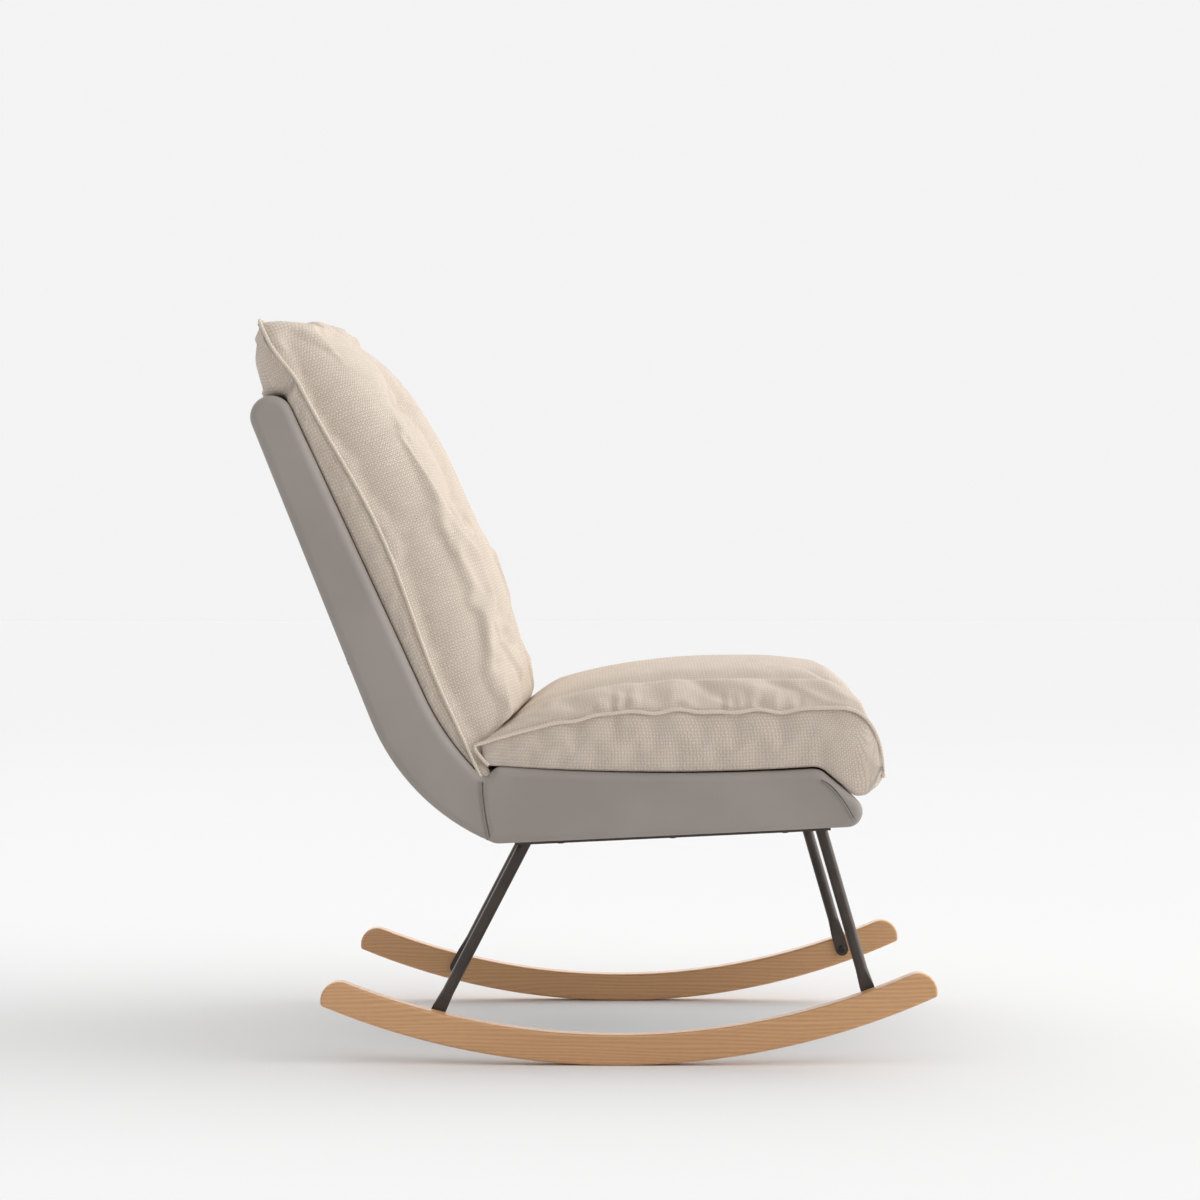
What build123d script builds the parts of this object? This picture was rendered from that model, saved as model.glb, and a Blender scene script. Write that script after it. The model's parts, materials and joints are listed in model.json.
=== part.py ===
"""A rocking chair: an upholstered seat shell with two loose cushions, on steel legs and wooden rockers.

Millimetres. +X is the front, +Z is up, Y = 0 is the plane of symmetry. The origin is on the floor, under the
middle of the chair.
"""

import os
from math import cos, pi, radians, sin, sqrt, tan

from build123d import *

os.makedirs("parts", exist_ok=True)

# Rockers
rocker_radius = 969.0  # of the edge that rolls on the floor
rocker_height = 38.0
rocker_thickness = 25.0
rocker_setback = 20.0  # of the outer faces, inside the shell's sides
rocker_contact_x = 27.0  # where the rockers touch the floor
rocker_rear_x = -345.0
rocker_front_x = 428.5
rocker_end_radius = 23.0  # upper corner at both ends
rocker_toe_radius = 4.5  # lower corner at both ends
rocker_edge_radius = 3.5

# Legs: round tube, pressed flat where it is bolted to the rocker
tube_diameter = 15.0
tube_wall = 2.0
flat_width = 18.0
flat_length = 24.0  # from the bolt up to the start of the flare
flare_length = 22.0
rear_leg_bolt_x = -207.0
front_leg_bolt_x = 348.0
rear_leg_lean = 27.4  # from the vertical, top forward
front_leg_lean = 16.15  # from the vertical, top back

# Steel frame under the seat
rail_width = 40.0
rail_thickness = 5.0
rail_overhang = 3.0  # past the legs' tubes

# Fasteners
bolt_diameter = 6.0
bolt_head_diameter = 10.5
bolt_head_height = 3.3
bolt_head_dome = 2.2  # radius of the head's rounded rim
hex_key = 4.0  # across flats
hex_depth = 2.2
bolt_play = 0.3  # radial, in a clearance hole
thread_play = 0.05  # radial, between a bolt and the thread that holds it, and round an insert
insert_diameter = 10.0
insert_length = 14.0
insert_bolt_length = 12.0  # of the bolt inside the insert
insert_hole_extra = 2.0  # of the hole, past the insert
frame_bolt_margin = 45.0  # of the outer frame bolts, from the legs
frame_bolt_shift = 10.0  # of the frame bolts, inward from the legs' middle
tee_flange_diameter = 19.0
tee_flange_thickness = 1.5
tee_barrel_diameter = 8.0
tee_barrel_length = 9.0

# Shell outline, side view
shell_width = 600.0
back_top_x = -404.0  # centre of the rounded top edge
back_top_z = 812.0
back_top_radius = 26.5
outer_rake = 21.9  # of the back's rear face, from the vertical
inner_rake = 24.8  # of the back's front face
rear_bend_z = 434.0  # where the rear face turns under the seat
inner_bend_z = 464.0  # where the front face turns towards the seat
underside_rear_x = -124.0
underside_rear_z = 279.0
underside_slope = 2.76  # rising to the front
nose_x = 316.0  # centre of the rounded front edge
nose_radius = 19.5
nose_slant = 39.8  # of the front slope, from the horizontal
deck_front_x = 280.0
deck_rear_x = -122.0
deck_rear_z = 376.0
deck_sag = 7.0
inner_corner_x = -138.0
inner_corner_z = 361.0
convex_corner_radius = 22.0
deck_rear_radius = 15.0
inner_corner_radius = 7.0
shell_edge_radius = 12.0
seam_inset = 14.0  # of the side panels' seams, from the outline
hem_width = 25.0  # of the side covers, turned under the seat
cover_thickness = 1.2

# Inside the shell
lay_gap = 0.3  # between the covers and the padding
wadding = 4.0  # at the rear, the sides and the top
back_foam_depth = 10.0  # at the front of the back
seat_foam_depth = 22.0
board_thickness = 3.0
side_frame_thickness = 18.0
cross_rail_thickness = 20.0
front_rail_thickness = 45.0
cross_rail_height = 46.0
batten_height = 22.0
lumbar_rail_z = 577.0  # lower edge
strap_width = 60.0
strap_thickness = 1.5
strap_inset = 20.0  # from the frame's outer faces
back_strap_count = 4
seat_strap_count = 5

# Both cushions
cushion_setback = 10.0  # of their sides, inside the shell's
side_draw = 6.0  # of their sides between the corners
crown_power = 2.6  # the higher, the flatter the middle of a crown's curve
crown_root = 0.6  # the lower, the blunter its ends
least_rise = 1.0  # of a crest, over its valley
least_arch = 4.0  # of a crest, over its seam
least_swell = 6.0  # of a crest, over the cushion's underside
least_boxing = 2.0  # of a seam, over the cushion's underside
soft_gap = 0.4  # between a cushion and what it lies against

# Back cushion, along the back from the inner corner
back_cushion_length = 653.0
back_cushion_crown = 144.0
back_cushion_edge = 20.0
back_crown_shift = 1.22  # of the crown's curve below the middle, against the one above
back_head_length = 24.0  # over which the two upper corners draw in
back_head_draw = 12.0  # of the sides where the corners start to draw in
back_ear_slope = 2.2  # how fast they draw in from there to the top
back_cushion_tuck = 6.0  # of the lower end, below the inner corner
back_cushion_press = 6.0  # of the rear face, into the padding
back_cushion_wall = 5.0  # of its quilted cover; loose fibre fills the rest
back_seam_low = 18.0  # of the piped seam over the shell, at the ends
back_seam_high = 34.0
tuft_rows = 3
tuft_row_spacing = 167.5
tuft_first_row = 147.0
tuft_column_spacing = 200.0
lobe_inset = 90.0  # of the outer lobes' crests, from the cushion's sides
tuft_depth = 34.0
column_depth = 9.0  # of the valley between two tufts
row_pinch = 4.0  # of the crown, level with a tuft
head_bulge = 12.0  # of the cushion, back over the shell's top

# Seat cushion
seat_cushion_front_x = 361.0
seat_cushion_crown_x = 170.0
seat_cushion_crown_z = 505.0
seat_cushion_lip_z = 339.0  # lowest point, in front of the shell's slope
seat_seam_z = 446.0
seat_seam_drop = 43.0  # of the seam at the rear corner
seat_seam_power = 1.6  # the higher, the later it drops
seat_rear_x = -146.5  # rear corner, under the back cushion
seat_rear_z = 403.0
seat_crown_rear_reach = 400.0  # of the crown's curve behind its highest point
seat_seam_level_x = 60.0  # where the seam starts to drop towards the rear
seat_nose_length = 57.0  # of the rounded front
seat_nose_z = 363.0  # of the seam's front corner
seat_corner_draw = 15.0  # of the two front corners
seat_nose_power = 5.0  # of the crown's curve in front of its highest point
seat_nose_root = 0.5
seat_side_tuck = 6.0  # of the underside's edges, inside the seam
seat_haunch_inset = 40.0  # of a point half way up the crown, from the cushion's side
seat_haunch_share = 0.486  # of the crown's rise there
seat_shoulder_inset = 100.0
seat_shoulder_share = 0.764
seat_rear_steps = [-4.0, 36.0, 86.0]  # of the form's sections, from the rear corner
seat_middle_xs = [0.0, 80.0, seat_cushion_crown_x, 240.0]
seat_nose_steps = [71.0, 43.0, 23.0, 9.0, 1.0]  # back from the front
parting_slope = 38.2  # of the face where the two cushions meet
core_margin = 34.0  # of the seat cushion's foam block from its seams
core_height = 62.0
core_edge_radius = 12.0


# Lines and points of the shell's side view, as (x, z)


def along(angle):
    """The unit vector at an angle from the vertical, leaning back."""
    return Vector(-sin(radians(angle)), cos(radians(angle)))


def square_to(angle):
    """The unit vector square to along(angle), pointing to the front."""
    return Vector(cos(radians(angle)), sin(radians(angle)))


top_centre = Vector(back_top_x, back_top_z)
rear_top = top_centre - square_to(outer_rake) * back_top_radius
inner_top = top_centre + square_to(inner_rake) * back_top_radius
rear_bend = Vector(rear_top.X + (rear_top.Y - rear_bend_z) * tan(radians(outer_rake)), rear_bend_z)
inner_bend = Vector(inner_top.X + (inner_top.Y - inner_bend_z) * tan(radians(inner_rake)), inner_bend_z)
inner_corner = Vector(inner_corner_x, inner_corner_z)
underside_corner = Vector(underside_rear_x, underside_rear_z)
underside_run = Vector(cos(radians(underside_slope)), sin(radians(underside_slope)))
underside_up = Vector(-underside_run.Y, underside_run.X)
nose_reach = (nose_x - underside_rear_x - nose_radius * sin(radians(underside_slope))) / underside_run.X
nose_bottom = underside_corner + underside_run * nose_reach
nose_centre = nose_bottom + underside_up * nose_radius
nose_out = Vector(sin(radians(nose_slant)), cos(radians(nose_slant)))
nose_top = nose_centre + nose_out * nose_radius
deck_rear = Vector(deck_rear_x, deck_rear_z)
deck_front = Vector(deck_front_x, nose_top.Y + (nose_top.X - deck_front_x) * tan(radians(nose_slant)))
deck_middle = (deck_rear + deck_front) * 0.5 - Vector(0, deck_sag)
rounded_corners = [
    (underside_corner, convex_corner_radius),
    (deck_front, convex_corner_radius),
    (deck_rear, deck_rear_radius),
    (inner_corner, inner_corner_radius),
]


def shell_face(inset=0.0):
    """The shell's side view, drawn in all round by the inset."""
    with BuildSketch(Plane.XZ) as face:
        with BuildLine():
            ThreePointArc(rear_top, top_centre + along(inner_rake) * back_top_radius, inner_top)
            Line(inner_top, inner_bend)
            TangentArc(inner_bend, inner_corner, tangent=along(inner_rake) * -1)
            Line(inner_corner, deck_rear)
            ThreePointArc(deck_rear, deck_middle, deck_front)
            Line(deck_front, nose_top)
            ThreePointArc(nose_top, nose_centre + Vector(nose_radius, 0), nose_bottom)
            Line(nose_bottom, underside_corner)
            TangentArc(rear_bend, underside_corner, tangent=along(outer_rake) * -1)
            Line(rear_bend, rear_top)
        make_face()
        for corner, radius in rounded_corners:
            fillet(face.vertices().sort_by_distance(corner)[0], radius=radius)
        if inset:
            offset(amount=-inset, mode=Mode.REPLACE)
    return face.sketch


def shell_block(inset, half_width, edge_radius=0.0):
    """A solid with the shell's side view, its two sides rounded over at the edges."""
    with BuildPart() as block:
        extrude(shell_face(inset), amount=half_width, dir=(0, 1, 0), both=True)
        if edge_radius:
            sides = block.faces().filter_by(Axis.Y).sort_by(Axis.Y)
            fillet(sides[0].edges() + sides[-1].edges(), radius=edge_radius)
    return block.part


def side_prism(points, half_width=shell_width):
    """A prism across the chair with a straight-sided outline, as (x, z) points."""
    with BuildSketch(Plane.XZ) as outline:
        with BuildLine():
            Polyline(*points, close=True)
        make_face()
    with BuildPart() as prism:
        extrude(outline.sketch, amount=half_width, dir=(0, 1, 0), both=True)
    return prism.part


def finish(piece, name):
    """Label a finished piece and write it to its own file."""
    piece.part.label = name
    export_step(piece.part, f"parts/{name}.step")


def finish_pair(piece, name):
    """Write a right-hand piece and its mirror image on the left."""
    finish(piece, f"{name}_right")
    with BuildPart() as twin:
        mirror(piece.part, about=Plane.XZ)
    finish(twin, f"{name}_left")


# Rockers

rocker_inner_y = shell_width / 2 - rocker_setback - rocker_thickness
rocker_upper_radius = rocker_radius - rocker_height
rocker_middle_radius = rocker_radius - rocker_height / 2


def on_rocker(radius, x):
    """The point of a circle about the rockers' centre, low down, at a given x."""
    return Vector(x, rocker_radius - sqrt(radius**2 - (x - rocker_contact_x) ** 2))


rear_leg_bolt = on_rocker(rocker_middle_radius, rear_leg_bolt_x)
front_leg_bolt = on_rocker(rocker_middle_radius, front_leg_bolt_x)

with BuildPart() as rocker_right:
    with BuildSketch(Plane.XZ.offset(rocker_inner_y)) as rocker_side:
        rear_low = on_rocker(rocker_radius, rocker_rear_x)
        front_low = on_rocker(rocker_radius, rocker_front_x)
        rear_high = on_rocker(rocker_upper_radius, rocker_rear_x)
        front_high = on_rocker(rocker_upper_radius, rocker_front_x)
        with BuildLine():
            ThreePointArc(rear_low, on_rocker(rocker_radius, rocker_contact_x), front_low)
            Line(front_low, front_high)
            ThreePointArc(front_high, on_rocker(rocker_upper_radius, rocker_contact_x), rear_high)
            Line(rear_high, rear_low)
        make_face()
        for corner, radius in (
            (rear_high, rocker_end_radius),
            (front_high, rocker_end_radius),
            (rear_low, rocker_toe_radius),
            (front_low, rocker_toe_radius),
        ):
            fillet(rocker_side.vertices().sort_by_distance(corner)[0], radius=radius)
    extrude(amount=rocker_thickness)
    fillet(rocker_right.faces().filter_by(Axis.Y).edges(), radius=rocker_edge_radius)
    with BuildSketch(Plane.XZ.offset(rocker_inner_y)):
        with Locations(rear_leg_bolt, front_leg_bolt):
            Circle(insert_diameter / 2 + thread_play)
    extrude(amount=insert_length + insert_hole_extra, mode=Mode.SUBTRACT)
finish_pair(rocker_right, "rocker")


# Steel frame under the seat: two side rails and two cross rails in one sloping plane

tube_y = rocker_inner_y - tube_diameter / 2
frame_bolt_y = tube_y - frame_bolt_shift
rail_base = underside_corner - underside_up * rail_thickness


def under_plane(run, y, height=0.0, up=True):
    """A plane along the shell's underside, at a distance forward and a height above the rails' lower face."""
    place = rail_base + underside_run * run + underside_up * height
    normal = underside_up if up else underside_up * -1
    return Plane(
        origin=(place.X, y, place.Y),
        x_dir=(underside_run.X, 0, underside_run.Y),
        z_dir=(normal.X, 0, normal.Y),
    )


def leg_reach(bolt, direction):
    """The length of a leg's line from its bolt up to the rails."""
    return (rail_base - bolt).dot(underside_up) / direction.dot(underside_up)


def leg_run(bolt, direction):
    """How far forward along the rails a leg's line meets them."""
    return (bolt + direction * leg_reach(bolt, direction) - rail_base).dot(underside_run)


rear_leg_way = along(-rear_leg_lean)
front_leg_way = along(front_leg_lean)
rear_leg_run = leg_run(rear_leg_bolt, rear_leg_way)
front_leg_run = leg_run(front_leg_bolt, front_leg_way)
rail_rear_run = rear_leg_run - tube_diameter / 2 / rear_leg_way.dot(underside_up) - rail_overhang
rail_front_run = front_leg_run + tube_diameter / 2 / front_leg_way.dot(underside_up) + rail_overhang
rail_length = rail_front_run - rail_rear_run
frame_bolt_runs = [
    rear_leg_run + frame_bolt_margin,
    (rear_leg_run + front_leg_run) / 2,
    front_leg_run - frame_bolt_margin,
]
cross_rail_runs = {"rear": rail_rear_run, "front": rail_front_run - rail_width}

with BuildPart() as side_rail_right:
    with BuildSketch(under_plane(rail_rear_run, -tube_y)):
        Rectangle(rail_length, rail_width, align=(Align.MIN, Align.CENTER))
    extrude(amount=rail_thickness)
    for run in frame_bolt_runs:
        with BuildSketch(under_plane(run, -frame_bolt_y)):
            Circle(bolt_diameter / 2 + bolt_play)
        extrude(amount=rail_thickness, mode=Mode.SUBTRACT)
finish_pair(side_rail_right, "side_rail")

for place, run in cross_rail_runs.items():
    with BuildPart() as cross_rail:
        with BuildSketch(under_plane(run, 0)):
            Rectangle(rail_width, 2 * tube_y - rail_width, align=(Align.MIN, Align.CENTER))
        extrude(amount=rail_thickness)
    finish(cross_rail, f"cross_rail_{place}")


# Legs: the lower end is pressed flat against the rocker's inner face

flat_thickness = 2 * tube_wall
nearly_round = 0.49  # of a section's width: its corners' radius, where a tube is lofted to its flat


def leg_plane(bolt, direction, distance):
    """A plane square to a leg, at a distance from its bolt; local y runs across the chair."""
    place = bolt + direction * distance
    return Plane(
        origin=(place.X, -tube_y, place.Y),
        x_dir=(direction.Y, 0, -direction.X),
        z_dir=(direction.X, 0, direction.Y),
    )


def make_leg(bolt, direction):
    flare_top = flat_length + flare_length
    flat_face = Plane(
        origin=(bolt.X, flat_thickness - rocker_inner_y, bolt.Y),
        x_dir=(direction.X, 0, direction.Y),
        z_dir=(0, -1, 0),
    )
    with BuildPart() as leg:
        with BuildSketch(flat_face):
            Circle(flat_width / 2)
            Rectangle(flat_length, flat_width, align=(Align.MIN, Align.CENTER))
            Circle(bolt_diameter / 2 + bolt_play, mode=Mode.SUBTRACT)
        extrude(amount=flat_thickness)
        with BuildSketch(leg_plane(bolt, direction, flat_length)):
            with Locations((0, -(tube_diameter - flat_thickness) / 2)):
                RectangleRounded(flat_width, flat_thickness, nearly_round * flat_thickness)
        with BuildSketch(leg_plane(bolt, direction, flare_top)):
            RectangleRounded(tube_diameter, tube_diameter, nearly_round * tube_diameter)
        loft()
        tube_end = leg_reach(bolt, direction) + tube_diameter
        with BuildSketch(leg_plane(bolt, direction, flare_top)):
            Circle(tube_diameter / 2)
        extrude(amount=tube_end - flare_top)
        with BuildSketch(leg_plane(bolt, direction, flare_top)):
            Circle(tube_diameter / 2 - tube_wall)
        extrude(amount=tube_end - flare_top, mode=Mode.SUBTRACT)
        split(bisect_by=under_plane(0, 0), keep=Keep.BOTTOM)
    return leg


finish_pair(make_leg(rear_leg_bolt, rear_leg_way), "rear_leg")
finish_pair(make_leg(front_leg_bolt, front_leg_way), "front_leg")


# Fasteners


def bolt_solid(plane, shank_length):
    """A button-head bolt whose head stands on a plane and whose shank runs back through it."""
    with BuildPart() as bolt:
        with BuildSketch(plane):
            Circle(bolt_head_diameter / 2)
        extrude(amount=bolt_head_height)
        rims = bolt.edges().filter_by(GeomType.CIRCLE)
        rim = rims.sort_by(lambda edge: plane.to_local_coords(edge.center()).Z)[-1]
        fillet(rim, radius=bolt_head_dome)
        with BuildSketch(plane):
            Circle(bolt_diameter / 2)
        extrude(amount=-shank_length)
        with BuildSketch(plane.offset(bolt_head_height)):
            RegularPolygon(radius=hex_key / 2, side_count=6, major_radius=False)
        extrude(amount=-hex_depth, mode=Mode.SUBTRACT)
    return bolt.part


def leg_bolt_plane(bolt, side):
    """The face of a leg's flat that a bolt's head stands on; side is -1 on the right and 1 on the left."""
    return Plane(
        origin=(bolt.X, side * (rocker_inner_y - flat_thickness), bolt.Y),
        x_dir=(1, 0, 0),
        z_dir=(0, -side, 0),
    )


leg_bolt_planes = [leg_bolt_plane(bolt, side) for bolt in (rear_leg_bolt, front_leg_bolt) for side in (-1, 1)]

with BuildPart() as leg_bolts:
    for plane in leg_bolt_planes:
        add(bolt_solid(plane, flat_thickness + insert_bolt_length))
finish(leg_bolts, "leg_bolts")

with BuildPart() as rocker_inserts:
    for plane in leg_bolt_planes:
        with BuildSketch(plane.offset(-flat_thickness)):
            Circle(insert_diameter / 2)
            Circle(bolt_diameter / 2 + thread_play, mode=Mode.SUBTRACT)
        extrude(amount=-insert_length)
finish(rocker_inserts, "rocker_inserts")

batten_base = rail_thickness + cover_thickness
batten_top = batten_base + batten_height

with BuildPart() as frame_bolts:
    for run in frame_bolt_runs:
        for y in (-frame_bolt_y, frame_bolt_y):
            add(bolt_solid(under_plane(run, y, up=False), batten_top))
finish(frame_bolts, "frame_bolts")

with BuildPart() as tee_nuts:
    for run in frame_bolt_runs:
        for y in (-frame_bolt_y, frame_bolt_y):
            with BuildSketch(under_plane(run, y, batten_top)):
                Circle(tee_flange_diameter / 2)
            extrude(amount=tee_flange_thickness)
            with BuildSketch(under_plane(run, y, batten_top)):
                Circle(tee_barrel_diameter / 2)
            extrude(amount=-tee_barrel_length)
            with BuildSketch(under_plane(run, y, batten_top + tee_flange_thickness)):
                Circle(bolt_diameter / 2 + thread_play)
            extrude(amount=-(tee_flange_thickness + tee_barrel_length), mode=Mode.SUBTRACT)
finish(tee_nuts, "tee_nuts")


# Wooden frame inside the shell

padding_inset = cover_thickness + lay_gap
frame_inset = padding_inset + wadding
back_inset = padding_inset + back_foam_depth
frame_half_width = shell_width / 2 - frame_inset
inner_half_width = frame_half_width - side_frame_thickness
back_up = along(inner_rake)
back_out = square_to(inner_rake)
rear_up = along(outer_rake)
rear_out = square_to(outer_rake)
far = 2 * shell_width

back_line = inner_top - back_out * back_inset  # a point of the frame's front face in the back
seat_line_z = deck_middle.Y - padding_inset - seat_foam_depth  # the frame's top face in the seat
frame_corner = back_line + back_up * ((seat_line_z - back_line.Y) / back_up.Y)
base_rear = underside_corner + underside_run * (2 * convex_corner_radius) + underside_up * cover_thickness
base_front = nose_bottom - underside_run * nose_radius + underside_up * cover_thickness


def frame_zone():
    """The side view of the space that the wooden frame and the back board fill."""
    with BuildSketch(Plane.XZ) as zone:
        add(shell_face(frame_inset))
        with BuildLine():
            Polyline(
                frame_corner + back_up * far,
                frame_corner,
                frame_corner + Vector(far, 0),
                frame_corner + Vector(far, 0) + back_up * far,
                close=True,
            )
        make_face(mode=Mode.SUBTRACT)
    return zone.sketch


def back_band(low, high):
    """A slab across the back between two heights, as deep as a cross rail behind the frame's front face."""
    low_point = inner_top + back_up * ((low - inner_top.Y) / back_up.Y)
    high_point = inner_top + back_up * ((high - inner_top.Y) / back_up.Y)
    depth = back_out * (back_inset + cross_rail_thickness)
    return side_prism([low_point, high_point, high_point - depth, low_point - depth])


board_face = rear_top + rear_out * frame_inset
board_low = board_face - rear_up * ((board_face.Y - rear_bend_z) / rear_up.Y)
board_slab = side_prism(
    [
        board_low,
        board_face,
        board_face + rear_out * board_thickness,
        board_low + rear_out * board_thickness,
    ],
    frame_half_width,
)
above_frame = side_prism(
    [
        board_face - rear_out * far,
        board_face + rear_out * far,
        board_face + rear_out * far + rear_up * far,
        board_face - rear_out * far + rear_up * far,
    ]
)

base_lift = underside_up * 2 * wadding

with BuildPart() as envelope:
    extrude(frame_zone(), amount=frame_half_width, dir=(0, 1, 0), both=True)
    add(above_frame, mode=Mode.SUBTRACT)
    add(
        side_prism(
            [base_rear, base_front, base_front + base_lift, base_rear + base_lift],
            shell_width / 2 - shell_edge_radius,
        )
    )

with BuildPart() as back_board:
    add(envelope.part)
    add(board_slab, mode=Mode.INTERSECT)
finish(back_board, "back_board")

with BuildPart() as timber:
    add(envelope.part)
    add(board_slab, mode=Mode.SUBTRACT)

with BuildPart() as side_frame_right:
    add(timber.part)
    with BuildSketch(Plane.XZ.offset(inner_half_width)):
        Rectangle(2 * far, 2 * far)
    extrude(amount=side_frame_thickness, mode=Mode.INTERSECT)
finish_pair(side_frame_right, "side_frame")

with BuildPart() as timber_middle:
    add(timber.part)
    with BuildSketch(Plane.XZ):
        Rectangle(2 * far, 2 * far)
    extrude(amount=inner_half_width, both=True, mode=Mode.INTERSECT)

frame_top_z = board_face.Y
seat_rear_limit = frame_corner.X
rail_slabs = {
    "back_top_rail": back_band(frame_top_z - cross_rail_height, frame_top_z + far),
    "back_lumbar_rail": back_band(lumbar_rail_z, lumbar_rail_z + cross_rail_height),
    "seat_rear_rail": side_prism(
        [
            Vector(seat_rear_limit, 0),
            Vector(seat_rear_limit + cross_rail_thickness, 0),
            Vector(seat_rear_limit + cross_rail_thickness, far),
            Vector(seat_rear_limit, far),
        ]
    ),
    "seat_front_rail": side_prism(
        [
            Vector(base_front.X - front_rail_thickness, 0),
            Vector(base_front.X + far, 0),
            Vector(base_front.X + far, far),
            Vector(base_front.X - front_rail_thickness, far),
        ]
    ),
}
for name, slab in rail_slabs.items():
    with BuildPart() as cross_rail:
        add(timber_middle.part)
        add(slab, mode=Mode.INTERSECT)
    finish(cross_rail, name)

with BuildPart() as batten_right:
    add(timber_middle.part)
    add(
        side_prism(
            [
                Vector(seat_rear_limit + cross_rail_thickness, 0),
                Vector(base_front.X - front_rail_thickness, 0),
                Vector(base_front.X - front_rail_thickness, far),
                Vector(seat_rear_limit + cross_rail_thickness, far),
            ]
        ),
        mode=Mode.INTERSECT,
    )
    with BuildSketch(under_plane(-far, -tube_y + rail_width / 2, batten_base)):
        Rectangle(2 * far, far, align=(Align.MIN, Align.MAX))
    extrude(amount=batten_height, mode=Mode.INTERSECT)
    for run in frame_bolt_runs:
        with BuildSketch(under_plane(run, -frame_bolt_y, batten_base)):
            Circle(tee_barrel_diameter / 2 + thread_play)
        extrude(amount=batten_height, mode=Mode.SUBTRACT)
finish_pair(batten_right, "batten")


# Webbing

strap_face_half = frame_half_width - strap_inset
back_strap_low = inner_bend_z
back_strap_high = frame_top_z - cross_rail_height
back_strap_step = (back_strap_high - back_strap_low) / (back_strap_count - 0.5)
seat_strap_step = (2 * inner_half_width - strap_width) / (seat_strap_count - 0.5)

with BuildPart() as back_webbing:
    for number in range(back_strap_count):
        rise = (back_strap_low + (number + 0.25) * back_strap_step - back_line.Y) / back_up.Y
        place = back_line + back_up * rise
        strap_face = Plane(
            origin=(place.X, 0, place.Y),
            x_dir=(0, 1, 0),
            z_dir=(back_out.X, 0, back_out.Y),
        )
        with BuildSketch(strap_face):
            Rectangle(2 * strap_face_half, strap_width)
        extrude(amount=strap_thickness)
finish(back_webbing, "back_webbing")

with BuildPart() as seat_webbing:
    rear_end = seat_rear_limit + cross_rail_thickness / 2
    for number in range(seat_strap_count):
        y = (number - (seat_strap_count - 1) / 2) * seat_strap_step
        with BuildSketch(Plane.XY.offset(seat_line_z)):
            with Locations((rear_end, y)):
                Rectangle(base_front.X - rear_end, strap_width, align=(Align.MIN, Align.CENTER))
        extrude(amount=strap_thickness)
finish(seat_webbing, "seat_webbing")


# Foam and wadding, in two pieces that meet along a line under the inner corner

corner_cut = (inner_corner - rear_bend).normalized()
parting = Plane(
    origin=(inner_corner.X, 0, inner_corner.Y),
    x_dir=(0, 1, 0),
    z_dir=(corner_cut.X, 0, corner_cut.Y),
)

with BuildPart() as padding:
    add(shell_block(padding_inset, shell_width / 2 - padding_inset, shell_edge_radius - padding_inset))
    add(envelope.part, mode=Mode.SUBTRACT)
    add(back_webbing.part, mode=Mode.SUBTRACT)
    add(seat_webbing.part, mode=Mode.SUBTRACT)

for name, keep in (("back_foam", Keep.BOTTOM), ("seat_foam", Keep.TOP)):
    with BuildPart() as foam:
        add(padding.part)
        split(bisect_by=parting, keep=keep)
    finish(foam, name)


# Covers

outer_skin = shell_block(0.0, shell_width / 2, shell_edge_radius)
inner_skin = shell_block(
    cover_thickness,
    shell_width / 2 - cover_thickness,
    shell_edge_radius - cover_thickness,
)

with BuildPart() as panel_right:
    extrude(shell_face(seam_inset), amount=shell_width / 2, dir=(0, -1, 0))
    with BuildSketch(Plane.XZ.offset(shell_width / 2 - cover_thickness)):
        Rectangle(2 * far, 2 * far)
    extrude(amount=cover_thickness, mode=Mode.INTERSECT)

with BuildPart() as band:
    add(outer_skin)
    add(inner_skin, mode=Mode.SUBTRACT)
    add(panel_right.part, mode=Mode.SUBTRACT)
    add(panel_right.part.mirror(Plane.XZ), mode=Mode.SUBTRACT)

back_core = (rear_bend + inner_bend) * 0.5
seam_core = (inner_corner + underside_corner) * 0.5
top_seam = top_centre + (along(inner_rake) - square_to(inner_rake)).normalized() * far
inner_seam = inner_corner + (square_to(inner_rake) + along(inner_rake)).normalized() * far
nose_seam = nose_centre - underside_up * far + underside_run * nose_radius
bottom_seam = underside_corner - underside_up * far
cover_zones = {
    "rear_cover": [
        top_seam,
        top_centre,
        back_core,
        seam_core,
        underside_corner,
        bottom_seam,
        bottom_seam - Vector(2 * far, 0),
    ],
    "inner_back_cover": [
        top_seam,
        top_centre,
        back_core,
        seam_core,
        inner_corner,
        inner_seam,
        top_seam + Vector(far, far),
    ],
    "seat_cover": [
        seam_core,
        inner_corner,
        inner_seam,
        nose_seam + Vector(2 * far, 0),
        nose_seam,
        nose_centre,
    ],
    "underside": [
        seam_core,
        nose_centre,
        nose_seam,
        bottom_seam,
        underside_corner,
    ],
}
for name in ("rear_cover", "inner_back_cover", "seat_cover"):
    with BuildPart() as cover:
        add(band.part)
        add(side_prism(cover_zones[name]), mode=Mode.INTERSECT)
    finish(cover, name)

with BuildPart() as dust_cover:
    add(band.part)
    add(side_prism(cover_zones["underside"], shell_width / 2 - hem_width), mode=Mode.INTERSECT)
    for run in frame_bolt_runs:
        for y in (-frame_bolt_y, frame_bolt_y):
            with BuildSketch(under_plane(run, y)):
                Circle(bolt_diameter / 2 + bolt_play)
            extrude(amount=batten_base, mode=Mode.SUBTRACT)
finish(dust_cover, "dust_cover")

with BuildPart() as side_cover_right:
    add(band.part)
    add(side_prism(cover_zones["underside"]), mode=Mode.INTERSECT)
    with BuildSketch(Plane.XZ.offset(shell_width / 2 - hem_width)):
        Rectangle(2 * far, 2 * far)
    extrude(amount=hem_width, mode=Mode.INTERSECT)
    add(panel_right.part)
finish_pair(side_cover_right, "side_cover")


# Cushions

cushion_half_width = shell_width / 2 - cushion_setback


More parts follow.
